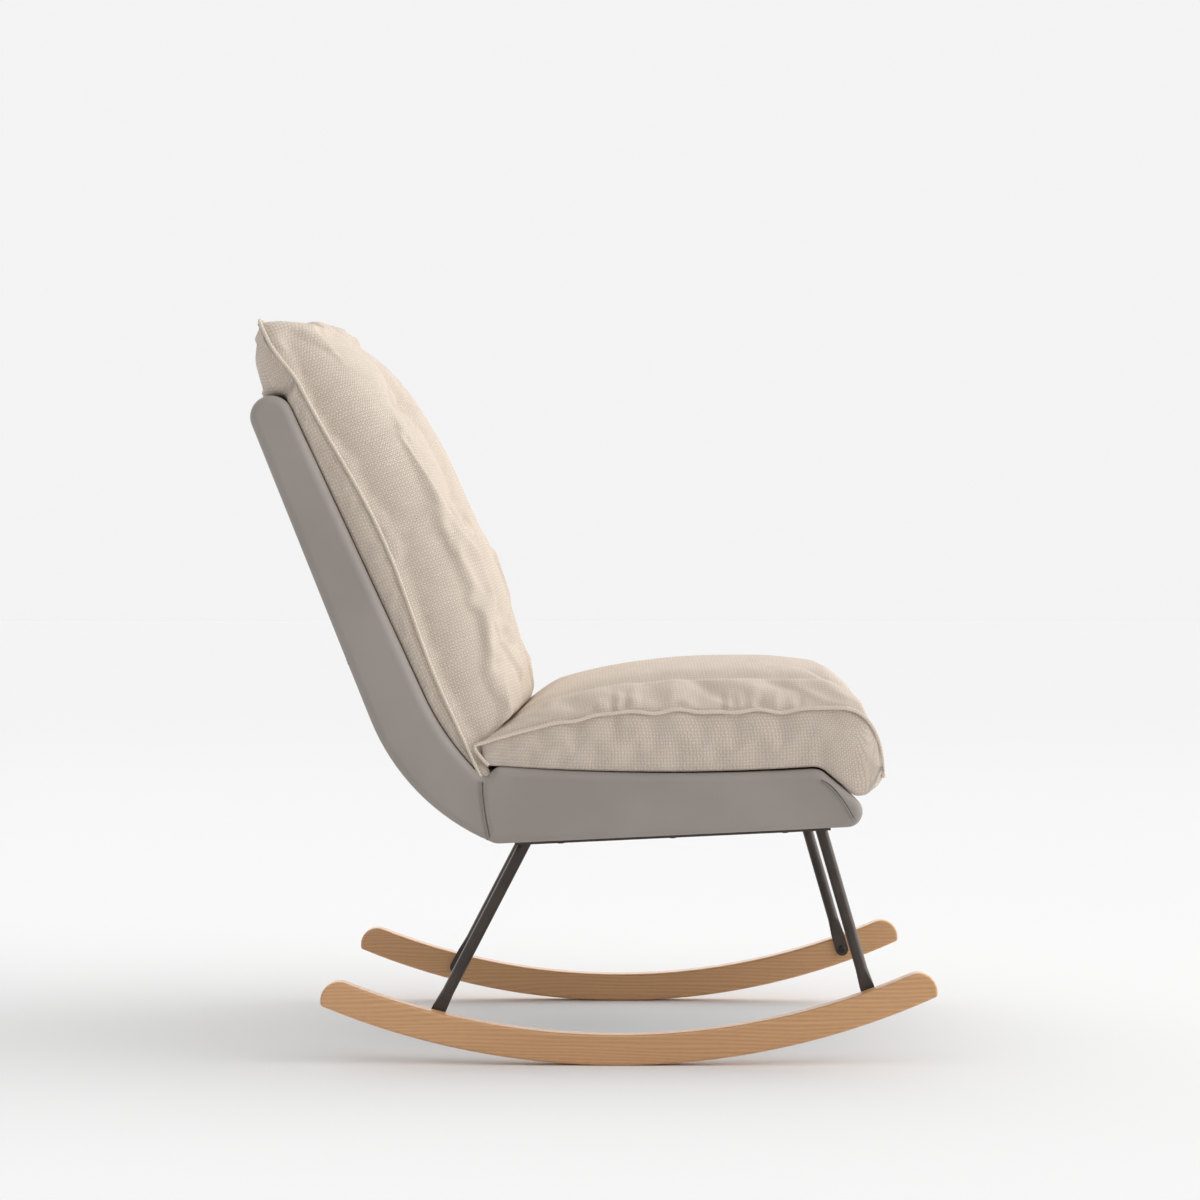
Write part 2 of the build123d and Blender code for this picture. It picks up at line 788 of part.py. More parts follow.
def shell_room(gap):
    """The room that the shell takes, with a gap round it."""
    with BuildPart() as room:
        extrude(shell_face(-gap), amount=shell_width, dir=(0, 1, 0), both=True)
    return room.part


seat_rear = Vector(seat_rear_x, seat_rear_z)
parting_way = Vector(cos(radians(parting_slope)), sin(radians(parting_slope)))


def seat_cushion_room(gap=0.0):
    """The side view of the room on the seat cushion's side of the face where the two cushions meet."""
    with BuildSketch(Plane.XZ) as room:
        with BuildLine():
            Polyline(
                seat_rear + parting_way * far,
                seat_rear,
                seat_rear - back_up * far,
                seat_rear - back_up * far + Vector(far * 2, 0),
                close=True,
            )
        make_face()
        if gap:
            offset(amount=gap, mode=Mode.REPLACE)
    with BuildPart() as block:
        extrude(room.sketch, amount=shell_width, dir=(0, 1, 0), both=True)
    return block.part


inner_top_height = (inner_top - inner_corner).dot(back_up)
back_base = inner_top - back_up * inner_top_height
tuft_heights = [tuft_first_row + number * tuft_row_spacing for number in range(tuft_rows)]
lobe_heights = [height + tuft_row_spacing / 2 for height in tuft_heights]
end_heights = [
    -back_cushion_tuck,
    tuft_first_row - tuft_row_spacing / 2,
    back_cushion_length - back_head_length,
    back_cushion_length - back_head_length / 3,
    back_cushion_length,
]
back_stations = sorted(tuft_heights + lobe_heights + end_heights)


def back_crest(height):
    """How far the back cushion stands out from the shell, at a height up its back."""
    middle = back_cushion_length / 2
    half = middle if height > middle else middle * back_crown_shift
    share = min(abs(height - middle) / half, 1.0)
    rise = (1 - share**crown_power) ** crown_root
    return back_cushion_edge + (back_cushion_crown - back_cushion_edge) * rise


def back_section(height, wall):
    """The crest, valley, seam and side of the back cushion's section at a height, with a wall taken off."""
    crest = back_crest(height)
    on_row = min(abs(height - row) for row in tuft_heights) < 1.0
    valley = crest - (tuft_depth if on_row else column_depth)
    crest -= row_pinch if on_row else 0.0
    belly = sin(pi * max(min(height / back_cushion_length, 1.0), 0.0))
    seam = back_seam_low + (back_seam_high - back_seam_low) * belly
    half_width = cushion_half_width - side_draw * belly
    head = height - (back_cushion_length - back_head_length)
    if head >= 0.0:
        half_width -= back_head_draw + back_ear_slope * head
    valley = max(valley - wall, least_swell)
    crest = max(crest - wall, valley + least_rise)
    seam = min(seam, crest - least_arch)
    return crest, valley, seam, half_width - wall


def back_form(wall=0.0):
    """The back cushion's form before it is pressed against the shell, drawn in by a wall."""
    side = cushion_half_width - lobe_inset
    valley_y = tuft_column_spacing / 2
    with BuildPart() as form:
        for height in back_stations:
            crest, valley, seam, edge = back_section(height, wall)
            head = max(height - inner_top_height, 0.0) / (back_cushion_length - inner_top_height)
            rear = wall - back_cushion_press - head_bulge * sin(pi * min(head, 1.0))
            rear_edge = edge - back_cushion_press
            place = back_base + back_up * height
            across = Plane(origin=(place.X, 0, place.Y), x_dir=(0, 1, 0), z_dir=(-back_up.X, 0, -back_up.Y))
            with BuildSketch(across):
                with BuildLine():
                    Polyline((-edge, seam), (-rear_edge, rear), (rear_edge, rear), (edge, seam))
                    ThreePointArc((edge, seam), (side, crest), (valley_y, valley))
                    ThreePointArc((valley_y, valley), (0, crest), (-valley_y, valley))
                    ThreePointArc((-valley_y, valley), (-side, crest), (-edge, seam))
                make_face()
        loft()
    return form.part


with BuildPart() as back_fibre_room:
    add(back_form(back_cushion_wall))
    add(shell_room(soft_gap + back_cushion_wall), mode=Mode.SUBTRACT)
    add(seat_cushion_room(soft_gap + back_cushion_wall), mode=Mode.SUBTRACT)

with BuildPart() as back_cushion:
    add(back_form())
    add(shell_room(soft_gap), mode=Mode.SUBTRACT)
    add(seat_cushion_room(soft_gap), mode=Mode.SUBTRACT)
    add(back_fibre_room.part, mode=Mode.SUBTRACT)
finish(back_cushion, "back_cushion")


def seat_crest(x):
    """The height of the seat cushion's crown at x."""
    if x > seat_cushion_crown_x:
        reach, power, root = seat_cushion_front_x - seat_cushion_crown_x, seat_nose_power, seat_nose_root
    else:
        reach, power, root = seat_crown_rear_reach, crown_power, crown_root
    share = min(abs(x - seat_cushion_crown_x) / (reach + least_rise), 1.0)
    return seat_cushion_lip_z + (seat_cushion_crown_z - seat_cushion_lip_z) * (1 - share**power) ** root


def seat_seam(x):
    """The height of the seat cushion's piped seam at x."""
    level_x = seat_cushion_front_x - seat_nose_length
    if x > level_x:
        share = min((x - level_x) / (seat_nose_length + least_rise), 1.0)
        return seat_nose_z + (seat_seam_z - seat_nose_z) * sqrt(1 - share**2)
    share = max(seat_seam_level_x - x, 0.0) / (seat_seam_level_x - seat_rear_x)
    return seat_seam_z - seat_seam_drop * share**seat_seam_power


def seat_form():
    """The seat cushion's form before it is pressed against the shell."""
    front = seat_cushion_front_x
    half_nose = seat_nose_length / 2
    stations = [seat_rear_x + step for step in seat_rear_steps]
    stations += seat_middle_xs
    stations += [front - step for step in seat_nose_steps]
    with BuildPart() as form:
        for x in stations:
            nose = max(x - (front - half_nose), 0.0) / half_nose
            low = seat_cushion_lip_z + (seat_nose_z - seat_cushion_lip_z) * nose**2
            crest = max(seat_crest(x), low + least_swell)
            seam = max(min(seat_seam(x), crest - least_arch), low + least_boxing)
            belly = sin(pi * (x - seat_rear_x) / (front - seat_rear_x))
            edge = cushion_half_width - side_draw * belly - seat_corner_draw * nose**2
            haunch = (edge - seat_haunch_inset, seam + seat_haunch_share * (crest - seam))
            shoulder = (edge - seat_shoulder_inset, seam + seat_shoulder_share * (crest - seam))
            low_edge = edge - seat_side_tuck
            with BuildSketch(Plane(origin=(x, 0, 0), x_dir=(0, 1, 0), z_dir=(1, 0, 0))):
                with BuildLine():
                    Polyline((-edge, seam), (-low_edge, low), (low_edge, low), (edge, seam))
                    ThreePointArc((edge, seam), haunch, shoulder)
                    ThreePointArc(shoulder, (0, crest), (-shoulder[0], shoulder[1]))
                    ThreePointArc((-shoulder[0], shoulder[1]), (-haunch[0], haunch[1]), (-edge, seam))
                make_face()
        loft()
    return form.part


core_rear_x = seat_rear_x + core_margin
core_front_x = seat_cushion_front_x - core_margin
core_base_z = deck_rear_z + 2 * soft_gap

with BuildPart() as seat_cushion_core:
    with BuildSketch(Plane.XY.offset(core_base_z)):
        with Locations(((core_rear_x + core_front_x) / 2, 0)):
            Rectangle(core_front_x - core_rear_x, 2 * (cushion_half_width - core_margin))
    extrude(amount=core_height)
    fillet(seat_cushion_core.edges(), radius=core_edge_radius)
    add(shell_room(soft_gap + core_edge_radius / 4), mode=Mode.SUBTRACT)
    add(seat_cushion_room(-core_edge_radius), mode=Mode.INTERSECT)
finish(seat_cushion_core, "seat_cushion_core")

notch_corner = Vector(deck_rear_x + deck_rear_radius, deck_rear_z)
corner_notch = side_prism(
    [
        notch_corner,
        notch_corner - Vector(far, 0),
        notch_corner - Vector(far, far),
        notch_corner - Vector(0, far),
    ]
)

with BuildPart() as seat_cushion:
    add(seat_form())
    add(corner_notch, mode=Mode.SUBTRACT)
    add(shell_room(soft_gap), mode=Mode.SUBTRACT)
    add(seat_cushion_room(), mode=Mode.INTERSECT)
    add(seat_cushion_core.part, mode=Mode.SUBTRACT)
finish(seat_cushion, "seat_cushion")
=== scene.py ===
"""The looks of a rocking chair: an upholstered shell with two loose cushions, on wooden rockers.

Metres. +X is the chair's front, +Y the sitter's left, +Z up, and the floor is Z = 0.
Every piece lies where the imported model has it.
"""

import json
import math

import bmesh
import bpy
import numpy as np
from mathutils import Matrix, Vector, kdtree


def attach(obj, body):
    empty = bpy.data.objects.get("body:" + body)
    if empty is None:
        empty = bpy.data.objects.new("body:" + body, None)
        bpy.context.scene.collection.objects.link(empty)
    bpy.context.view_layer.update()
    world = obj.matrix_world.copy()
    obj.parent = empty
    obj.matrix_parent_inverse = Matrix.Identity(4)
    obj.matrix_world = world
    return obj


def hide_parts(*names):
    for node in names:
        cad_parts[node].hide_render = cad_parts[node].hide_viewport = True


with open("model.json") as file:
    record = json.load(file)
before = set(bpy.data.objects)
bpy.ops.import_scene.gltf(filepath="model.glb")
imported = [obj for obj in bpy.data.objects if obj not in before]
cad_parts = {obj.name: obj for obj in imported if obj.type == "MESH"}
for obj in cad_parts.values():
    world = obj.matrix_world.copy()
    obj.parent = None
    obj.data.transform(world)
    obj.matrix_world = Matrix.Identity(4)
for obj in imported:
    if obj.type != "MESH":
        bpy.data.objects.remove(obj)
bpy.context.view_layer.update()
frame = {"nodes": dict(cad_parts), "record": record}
nodes = frame["nodes"]
scene = bpy.context.scene
MM = 0.001


# Shader maths


class Wire:
    """A value in a material's node tree; an expression on it adds the nodes that work it out."""

    def __init__(self, sheet, socket):
        self.sheet = sheet
        self.socket = socket

    def _math(self, operation, *values):
        return self.sheet.node("ShaderNodeMath", {"operation": operation}, *values)

    def __add__(self, other):
        return self._math("ADD", self, other)

    def __radd__(self, other):
        return self._math("ADD", other, self)

    def __sub__(self, other):
        return self._math("SUBTRACT", self, other)

    def __rsub__(self, other):
        return self._math("SUBTRACT", other, self)

    def __mul__(self, other):
        return self._math("MULTIPLY", self, other)

    def __rmul__(self, other):
        return self._math("MULTIPLY", other, self)

    def __truediv__(self, other):
        return self._math("DIVIDE", self, other)

    def __pow__(self, other):
        return self._math("POWER", self, other)

    def sine(self):
        return self._math("SINE", self)

    def size(self):
        return self._math("ABSOLUTE", self)

    def floor(self):
        return self._math("FLOOR", self)

    def modulo(self, other):
        return self._math("FLOORED_MODULO", self, other)

    def part(self, axis):
        """One of a vector's three numbers."""
        return self.sheet.node("ShaderNodeSeparateXYZ", {}, self, output=axis)

    def ramp(self, low, high):
        """0 below low, 1 above high and an eased slope between them."""
        settings = {"interpolation_type": "SMOOTHSTEP"}
        return self.sheet.node("ShaderNodeMapRange", settings, self, low, high)


class Sheet:
    """A new material, its Principled shader and the nodes that feed it."""

    def __init__(self, name):
        self.material = bpy.data.materials.new(name)
        self.material.use_nodes = True
        self.tree = self.material.node_tree
        self.shader = self.tree.nodes["Principled BSDF"]

    def link(self, value, socket):
        if isinstance(value, Wire):
            self.tree.links.new(value.socket, socket)
        else:
            socket.default_value = value

    def node(self, kind, settings, *values, output=0, **named):
        """A node of a type, with its settings made first, then its inputs by order or by name."""
        made = self.tree.nodes.new(kind)
        for key, setting in settings.items():
            setattr(made, key, setting)
        for socket, value in zip(made.inputs, values):
            self.link(value, socket)
        for key, value in named.items():
            self.link(value, made.inputs[key])
        return Wire(self, made.outputs[output])

    def place(self, scale=(1, 1, 1), turn=(0, 0, 0), uv=False):
        """Object coordinates or the piece's own UV map, in metres, stretched by a scale and turned."""
        settings = {"uv_map": "cloth"} if uv else {}
        kind = "ShaderNodeUVMap" if uv else "ShaderNodeTexCoord"
        start = self.node(kind, settings, output=0 if uv else 3)
        return self.node("ShaderNodeMapping", {}, start, Scale=scale, Rotation=turn)

    def noise(self, place, scale, detail=2.0, rough=0.5):
        inputs = {"Scale": scale, "Detail": detail, "Roughness": rough}
        return self.node("ShaderNodeTexNoise", {}, Vector=place, **inputs)

    def mix(self, factor, first, second):
        """Two colours mixed by a factor."""
        made = self.tree.nodes.new("ShaderNodeMix")
        made.data_type = "RGBA"
        for index, value in ((0, factor), (6, first), (7, second)):
            self.link((*value, 1) if isinstance(value, tuple) else value, made.inputs[index])
        return Wire(self, made.outputs[2])

    def bump(self, height, distance, strength, under=None):
        inputs = {"Strength": strength, "Distance": distance, "Height": height}
        if under is not None:
            inputs["Normal"] = under
        return self.node("ShaderNodeBump", {}, **inputs)

    def finish(self, **inputs):
        """The material, its shader's inputs fed by their names, with underscores for spaces."""
        for key, value in inputs.items():
            is_color = isinstance(value, tuple)
            self.link((*value, 1) if is_color else value, self.shader.inputs[key.replace("_", " ")])
        return self.material


def shade(red, green, blue):
    """A colour written as it shows on a screen, 0 to 255, made linear."""

    def linear(value):
        value /= 255
        return value / 12.92 if value <= 0.04045 else ((value + 0.055) / 1.055) ** 2.4

    return (linear(red), linear(green), linear(blue))


# Materials


YARN_PITCH = 2.9 * MM
YARN_STRAY = 1.1  # of the yarns from their straight lines, in pitches
YARN_HEIGHT = 0.9 * MM


def woven_cloth(name, light, dark):
    """A plain weave of thick soft yarn in two shades, laid askew to the panel."""
    m = Sheet(name)
    askew = m.place(uv=True, turn=(0, 0, math.radians(45)))
    stray = m.noise(m.place(uv=True), 130.0, detail=1.0) * YARN_STRAY
    across = askew.part(0) / YARN_PITCH + stray
    along = askew.part(1) / YARN_PITCH - stray
    parity = (across.floor() + along.floor()).modulo(2.0)
    warp = (across * math.pi).sine().size()
    weft = (along * math.pi).sine().size()
    over_warp = warp * (0.7 + 0.3 * weft)
    over_weft = weft * (0.7 + 0.3 * warp)
    yarn = over_warp * parity + over_weft * (1 - parity)
    fibre = m.noise(m.place(uv=True), 2400.0, detail=3.0, rough=0.7)
    slub = m.noise(m.place(uv=True), 45.0, detail=2.0)
    height = yarn * 0.85 + fibre * 0.15
    # The tone mixes the yarn's own two shades by the weave's parity and random slubs, with painted shade in
    # the gaps between the yarns.
    tone = (yarn * 0.5 + slub * 0.3 + parity * 0.25).ramp(0.1, 1.0)
    color = m.mix(tone, dark, light)
    normal = m.bump(height, YARN_HEIGHT, 0.75)
    m.shader.inputs["Sheen Weight"].default_value = 0.1
    m.shader.inputs["Sheen Roughness"].default_value = 0.5
    m.shader.inputs["Specular IOR Level"].default_value = 0.2
    return m.finish(Base_Color=color, Roughness=0.92, Normal=normal)


def shell_hide(name, light, dark):
    """Smooth matt artificial leather with a very fine grain."""
    m = Sheet(name)
    grain = m.node("ShaderNodeTexVoronoi", {"feature": "SMOOTH_F1"}, Vector=m.place(), Scale=900.0)
    pores = m.noise(m.place(), 2600.0, detail=2.0)
    cloud = m.noise(m.place(), 7.0, detail=3.0)
    color = m.mix(cloud.ramp(0.3, 0.7), dark, light)
    normal = m.bump(grain * 0.7 + pores * 0.3, 0.12 * MM, 0.5)
    normal = m.bump(cloud, 2.0 * MM, 0.35, under=normal)
    rough = 0.5 + 0.12 * cloud
    m.shader.inputs["Specular IOR Level"].default_value = 0.35
    return m.finish(Base_Color=color, Roughness=rough, Normal=normal)


def bent_wood(name, light, middle, dark):
    """Light wood whose fine grain runs straight from end to end, under a satin lacquer."""
    m = Sheet(name)
    drift = m.noise(m.place(scale=(2.2, 14.0, 14.0)), 1.0, detail=2.0)
    here = m.place()
    rings = ((here.part(2) * 1250.0 + here.part(1) * 300.0 + drift * 55.0).sine() + 1) * 0.5
    streak = m.noise(m.place(scale=(5.0, 420.0, 420.0)), 1.0, detail=4.0, rough=0.65)
    cloud = m.noise(m.place(scale=(4.0, 30.0, 30.0)), 1.0, detail=2.0)
    pores = m.noise(m.place(scale=(60.0, 1800.0, 1800.0)), 1.0, detail=2.0)
    tone = (rings**1.5 * 0.3 + streak * 0.5 + cloud * 0.3).ramp(0.2, 0.9)
    base = m.mix(tone, middle, light)
    color = m.mix(pores.ramp(0.56, 0.72) * 0.4, base, dark)
    height = streak * 0.6 + pores * 0.4
    normal = m.bump(height, 0.12 * MM, 0.3)
    m.shader.inputs["Coat Weight"].default_value = 0.5
    m.shader.inputs["Coat Roughness"].default_value = 0.35
    return m.finish(Base_Color=color, Roughness=0.40 + 0.12 * streak, Normal=normal)


def coated_steel(name, color, rough, metal):
    """Powder-coated or plated metal with a slightly uneven tone."""
    m = Sheet(name)
    fleck = m.noise(m.place(), 1800.0, detail=2.0)
    cloud = m.noise(m.place(), 30.0, detail=2.0)
    tint = m.mix(cloud.ramp(0.3, 0.7), color, tuple(1.35 * part for part in color))
    normal = m.bump(fleck, 0.1 * MM, 0.3)
    return m.finish(Base_Color=tint, Metallic=metal, Roughness=rough + 0.1 * fleck, Normal=normal)


def raw_wood(name, light, dark):
    """Bare plywood and sawn wood inside the shell."""
    m = Sheet(name)
    streak = m.noise(m.place(scale=(8.0, 120.0, 120.0)), 1.0, detail=4.0, rough=0.6)
    color = m.mix(streak.ramp(0.3, 0.7), dark, light)
    return m.finish(Base_Color=color, Roughness=0.7, Normal=m.bump(streak, 0.3 * MM, 0.4))


def soft_cloth(name, color, pitch):
    """Spun cloth, webbing or foam: a fine even tooth on a plain colour."""
    m = Sheet(name)
    tooth = m.noise(m.place(), 1.0 / pitch, detail=3.0, rough=0.7)
    tint = m.mix(tooth.ramp(0.3, 0.7), tuple(0.8 * part for part in color), color)
    return m.finish(Base_Color=tint, Roughness=0.9, Normal=m.bump(tooth, 0.4 * pitch, 0.6))


CLOTH = woven_cloth("cushion_weave", shade(235, 223, 210), shade(204, 186, 168))
# The piping's cloth is the cushions' cloth made lighter: painted light on the raised cord.
PIPING_PAINTED_LIGHT = woven_cloth("piping_weave_painted_light", shade(244, 233, 220), shade(222, 207, 190))
HIDE = shell_hide("shell_hide", shade(164, 156, 150), shade(156, 148, 142))
# A darker copy of the hide for the cords in the seams' grooves: painted shade, where the grooves lie in
# shadow.
HIDE_GROOVE_SHADE = shell_hide("shell_seam", shade(104, 98, 94), shade(94, 88, 84))
THREAD = soft_cloth("shell_thread", shade(160, 152, 146), 0.4 * MM)
OAK = bent_wood("rocker_wood", shade(224, 174, 124), shade(200, 149, 101), shade(160, 112, 70))
STEEL = coated_steel("leg_steel", shade(62, 55, 51), rough=0.3, metal=0.6)
BOLT = coated_steel("bolt_steel", shade(52, 48, 46), rough=0.35, metal=0.8)
ZINC = coated_steel("zinc_steel", shade(176, 176, 172), rough=0.3, metal=1.0)
BRASS = coated_steel("insert_brass", shade(196, 160, 92), rough=0.3, metal=1.0)
PLY = raw_wood("frame_wood", shade(214, 184, 140), shade(186, 150, 106))
BOARD = raw_wood("back_board", shade(150, 118, 86), shade(128, 98, 70))
DUST = soft_cloth("dust_cloth", shade(44, 42, 42), 1.2 * MM)
WEBBING = soft_cloth("webbing", shade(96, 84, 74), 1.0 * MM)
FOAM = soft_cloth("foam", shade(226, 214, 178), 1.5 * MM)

NODE_MATERIALS = {
    "rocker_wood": OAK,
    "frame_wood": PLY,
    "board": BOARD,
    "frame_steel": STEEL,
    "fastener_steel": BOLT,
    "zinc_steel": ZINC,
    "brass": BRASS,
    "shell_leather": HIDE,
    "dust_cloth": DUST,
    "webbing": WEBBING,
    "foam": FOAM,
    "cushion_fabric": CLOTH,
}


def dress_nodes():
    """Give each CAD node the material of its slot in the record."""
    for entry in frame["record"]["subparts"]:
        node = nodes[entry["node"]]
        node.data.materials.clear()
        node.data.materials.append(NODE_MATERIALS[entry["material_slot"]])


# Lines of the shell that the cushions lie against

BACK_RAKE = math.radians(24.8)
BACK_UP = np.array((-math.sin(BACK_RAKE), 0.0, math.cos(BACK_RAKE)))
BACK_OUT = np.array((math.cos(BACK_RAKE), 0.0, math.sin(BACK_RAKE)))
BACK_BASE = np.array((-161.3, 0.0, 350.1)) * MM
BACK_BEND = 125 * MM  # up the back, where its face starts to turn forward to the seat
BACK_BEND_DEPTH = 25.7 * MM
SHELL_TOP_CENTRE = 521.1 * MM  # of the rounded top edge, up the back
SHELL_TOP_RADIUS = 26.5 * MM
SHELL_SIDE = 300 * MM
DECK_Z = 375.5 * MM
DECK_SAG = 7 * MM
DECK_MIDDLE_X = 79 * MM
DECK_HALF_LENGTH = 201 * MM
NOSE_SLOPE = math.tan(math.radians(39.8))
PARTING_POINT = np.array((-146.5, 0.0, 403.0)) * MM  # rear corner of the seat cushion, under the other
PARTING_RISE = math.radians(38.2)
PARTING_NORMAL = np.array((math.sin(PARTING_RISE), 0.0, -math.cos(PARTING_RISE)))  # towards the seat cushion
LIE_GAP = 0.5 * MM  # between a cushion and what it lies against
CORNER_SINK = 0.7 * MM  # of a boxing strip's lower edge, which subdividing lifts again
SEAT_CORNER_SINK = 1.6 * MM


def on_back(across, height, out):
    """Points at distances across the chair, up its back and out from the back's straight line."""
    across, height, out = np.broadcast_arrays(across, height, out)
    side = across[..., None] * np.array((0.0, 1.0, 0.0))
    return BACK_BASE + side + height[..., None] * BACK_UP + out[..., None] * BACK_OUT


def smooth(value, low, high):
    """0 below low, 1 above high and an eased slope between them."""
    share = np.clip((value - low) / (high - low), 0, 1)
    return share * share * (3 - 2 * share)


def back_face(height):
    """How far the shell's face stands out from its straight line, at a height up the back."""
    bend = BACK_BEND_DEPTH * (np.clip(BACK_BEND - height, 0, None) / BACK_BEND) ** 2
    past = np.clip(height - SHELL_TOP_CENTRE, 0, SHELL_TOP_RADIUS)
    return bend + np.sqrt(SHELL_TOP_RADIUS**2 - past**2) - SHELL_TOP_RADIUS


def deck_face(x):
    """The height of the shell's deck, and of the slope in front of it."""
    sag = DECK_SAG * (1 - ((x - DECK_MIDDLE_X) / DECK_HALF_LENGTH) ** 2)
    slope = np.clip(x - (DECK_MIDDLE_X + DECK_HALF_LENGTH), 0, None) * NOSE_SLOPE
    return DECK_Z - np.clip(sag, 0, None) - slope


# Meshes from grids of points


def spread(points, count):
    """A line of points, resampled at even lengths."""
    run = np.concatenate(([0.0], np.cumsum(np.linalg.norm(np.diff(points, axis=0), axis=1))))
    wanted = np.linspace(0.0, run[-1], count)
    return np.stack([np.interp(wanted, run, points[:, axis]) for axis in range(points.shape[1])], axis=1)


def spread_rows(grid, count):
    """A grid of points, resampled so that its rows lie at even lengths along its middle column."""
    middle = grid[:, grid.shape[1] // 2]
    run = np.concatenate(([0.0], np.cumsum(np.linalg.norm(np.diff(middle, axis=0), axis=1))))
    wanted = np.linspace(0.0, run[-1], count)
    flat = grid.reshape(len(run), -1)
    rows = np.stack([np.interp(wanted, run, flat[:, column]) for column in range(flat.shape[1])], axis=1)
    return rows.reshape(count, grid.shape[1], 3)


def panel_uv(grid):
    """Lengths along the rows and columns of a grid of points, for the cloth's weave."""
    across = np.cumsum(np.linalg.norm(np.diff(grid, axis=1), axis=2), axis=1)
    across = np.concatenate((np.zeros((len(grid), 1)), across), axis=1)
    across -= across[:, [across.shape[1] // 2]]
    along = np.cumsum(np.linalg.norm(np.diff(grid, axis=0), axis=2), axis=0)
    along = np.concatenate((np.zeros((1, grid.shape[1])), along), axis=0)
    return np.stack((across, along), axis=2)


def sewn(name, panels, material):
    """One closed mesh of panels that share their borders; each panel keeps its own UV map."""
    points, faces, corners = [], [], []
    start = 0
    for grid in panels:
        rows, columns = grid.shape[:2]
        uv = panel_uv(grid).reshape(-1, 2)
        numbers = np.arange(rows * columns).reshape(rows, columns)
        quads = np.stack((numbers[:-1, :-1], numbers[:-1, 1:], numbers[1:, 1:], numbers[1:, :-1]), axis=2)
        quads = quads.reshape(-1, 4)
        points.append(grid.reshape(-1, 3))
        faces.append(quads + start)
        corners.append(uv[quads])
        start += rows * columns
    mesh = bpy.data.meshes.new(name)
    mesh.from_pydata(np.concatenate(points).tolist(), [], np.concatenate(faces).tolist())
    layer = mesh.uv_layers.new(name="cloth")
    layer.data.foreach_set("uv", np.concatenate(corners).astype(np.float32).ravel())
    made = bmesh.new()
    made.from_mesh(mesh)
    bmesh.ops.remove_doubles(made, verts=made.verts, dist=0.05 * MM)
    bmesh.ops.dissolve_degenerate(made, edges=made.edges, dist=0.01 * MM)
    bmesh.ops.recalc_face_normals(made, faces=made.faces)
    made.to_mesh(mesh)
    made.free()
    mesh.shade_smooth()
    mesh.materials.append(material)
    piece = bpy.data.objects.new(name, mesh)
    scene.collection.objects.link(piece)
    return piece


def read_points(mesh):
    points = np.empty(len(mesh.vertices) * 3, dtype=np.float32)
    mesh.vertices.foreach_get("co", points)
    return points.reshape(-1, 3).astype(float)


def write_points(mesh, points):
    mesh.vertices.foreach_set("co", points.astype(np.float32).ravel())
    mesh.update()


def distance_to(points, path):
    """The distance of each point from the nearest point of a path, and that point's number."""
    tree = kdtree.KDTree(len(path))
    for number, place in enumerate(path):
        tree.insert(place, number)
    tree.balance()
    found = [tree.find(point) for point in points]
    return np.array([hit[2] for hit in found]), np.array([hit[1] for hit in found])


def applied(piece):
    """The piece with its modifiers made part of its mesh."""
    graph = bpy.context.evaluated_depsgraph_get()
    mesh = bpy.data.meshes.new_from_object(piece.evaluated_get(graph), depsgraph=graph)
    piece.modifiers.clear()
    old = piece.data
    piece.data = mesh
    bpy.data.meshes.remove(old)
    return piece


def subdivided(piece):
    modifier = piece.modifiers.new("fine", "SUBSURF")
    modifier.levels = 1
    modifier.render_levels = 1
    modifier.uv_smooth = "NONE"
    return applied(piece)


CLOTH_FRAMES = 20
GATHER_STEPS = 8  # of the cloth's spare length, from none to all that the seams get


def inflate(piece, held, gathered, pressure, spare, spare_at_seams, cap):
    """Blow a sewn cushion up from inside as cloth. Held points stay, and gathered is 1 at the seams."""
    start = read_points(piece.data)
    pins = piece.vertex_groups.new(name="held")
    pins.add(np.nonzero(held)[0].tolist(), 1.0, "REPLACE")
    folds = piece.vertex_groups.new(name="gathered")
    for step in range(1, GATHER_STEPS + 1):
        chosen = np.nonzero(np.round(gathered * GATHER_STEPS) == step)[0]
        folds.add(chosen.tolist(), step / GATHER_STEPS, "REPLACE")
    modifier = piece.modifiers.new("cloth", "CLOTH")
    cloth = modifier.settings
    cloth.quality = 5
    cloth.mass = 0.3
    cloth.tension_stiffness = 12
    cloth.compression_stiffness = 12
    cloth.shear_stiffness = 4
    cloth.bending_stiffness = 0.2
    cloth.vertex_group_mass = "held"
    cloth.pin_stiffness = 1
    cloth.vertex_group_shrink = "gathered"
    cloth.shrink_min = -spare
    cloth.shrink_max = -spare_at_seams
    cloth.use_pressure = True
    cloth.uniform_pressure_force = pressure
    cloth.effector_weights.gravity = 0
    modifier.point_cache.frame_end = CLOTH_FRAMES
    for number in range(1, CLOTH_FRAMES + 1):
        scene.frame_set(number)
    graph = bpy.context.evaluated_depsgraph_get()
    shift = read_points(piece.evaluated_get(graph).data) - start
    length = np.linalg.norm(shift, axis=1, keepdims=True)
    shift *= np.minimum(1.0, cap / np.maximum(length, 1e-9))
    piece.modifiers.clear()
    piece.vertex_groups.clear()
    write_points(piece.data, start + shift)
    scene.frame_set(1)


def press(points, distance, normal, softness=6 * MM):
    """Push points back along a normal where their distance in front of a face is negative, eased near it."""
    near = np.clip(softness - distance, 0, None)
    wanted = softness * np.exp(-near / softness)
    shift = np.where(near > 0, wanted - distance, 0)
    return points + shift[:, None] * normal


# Paths: cords and stitches that follow them


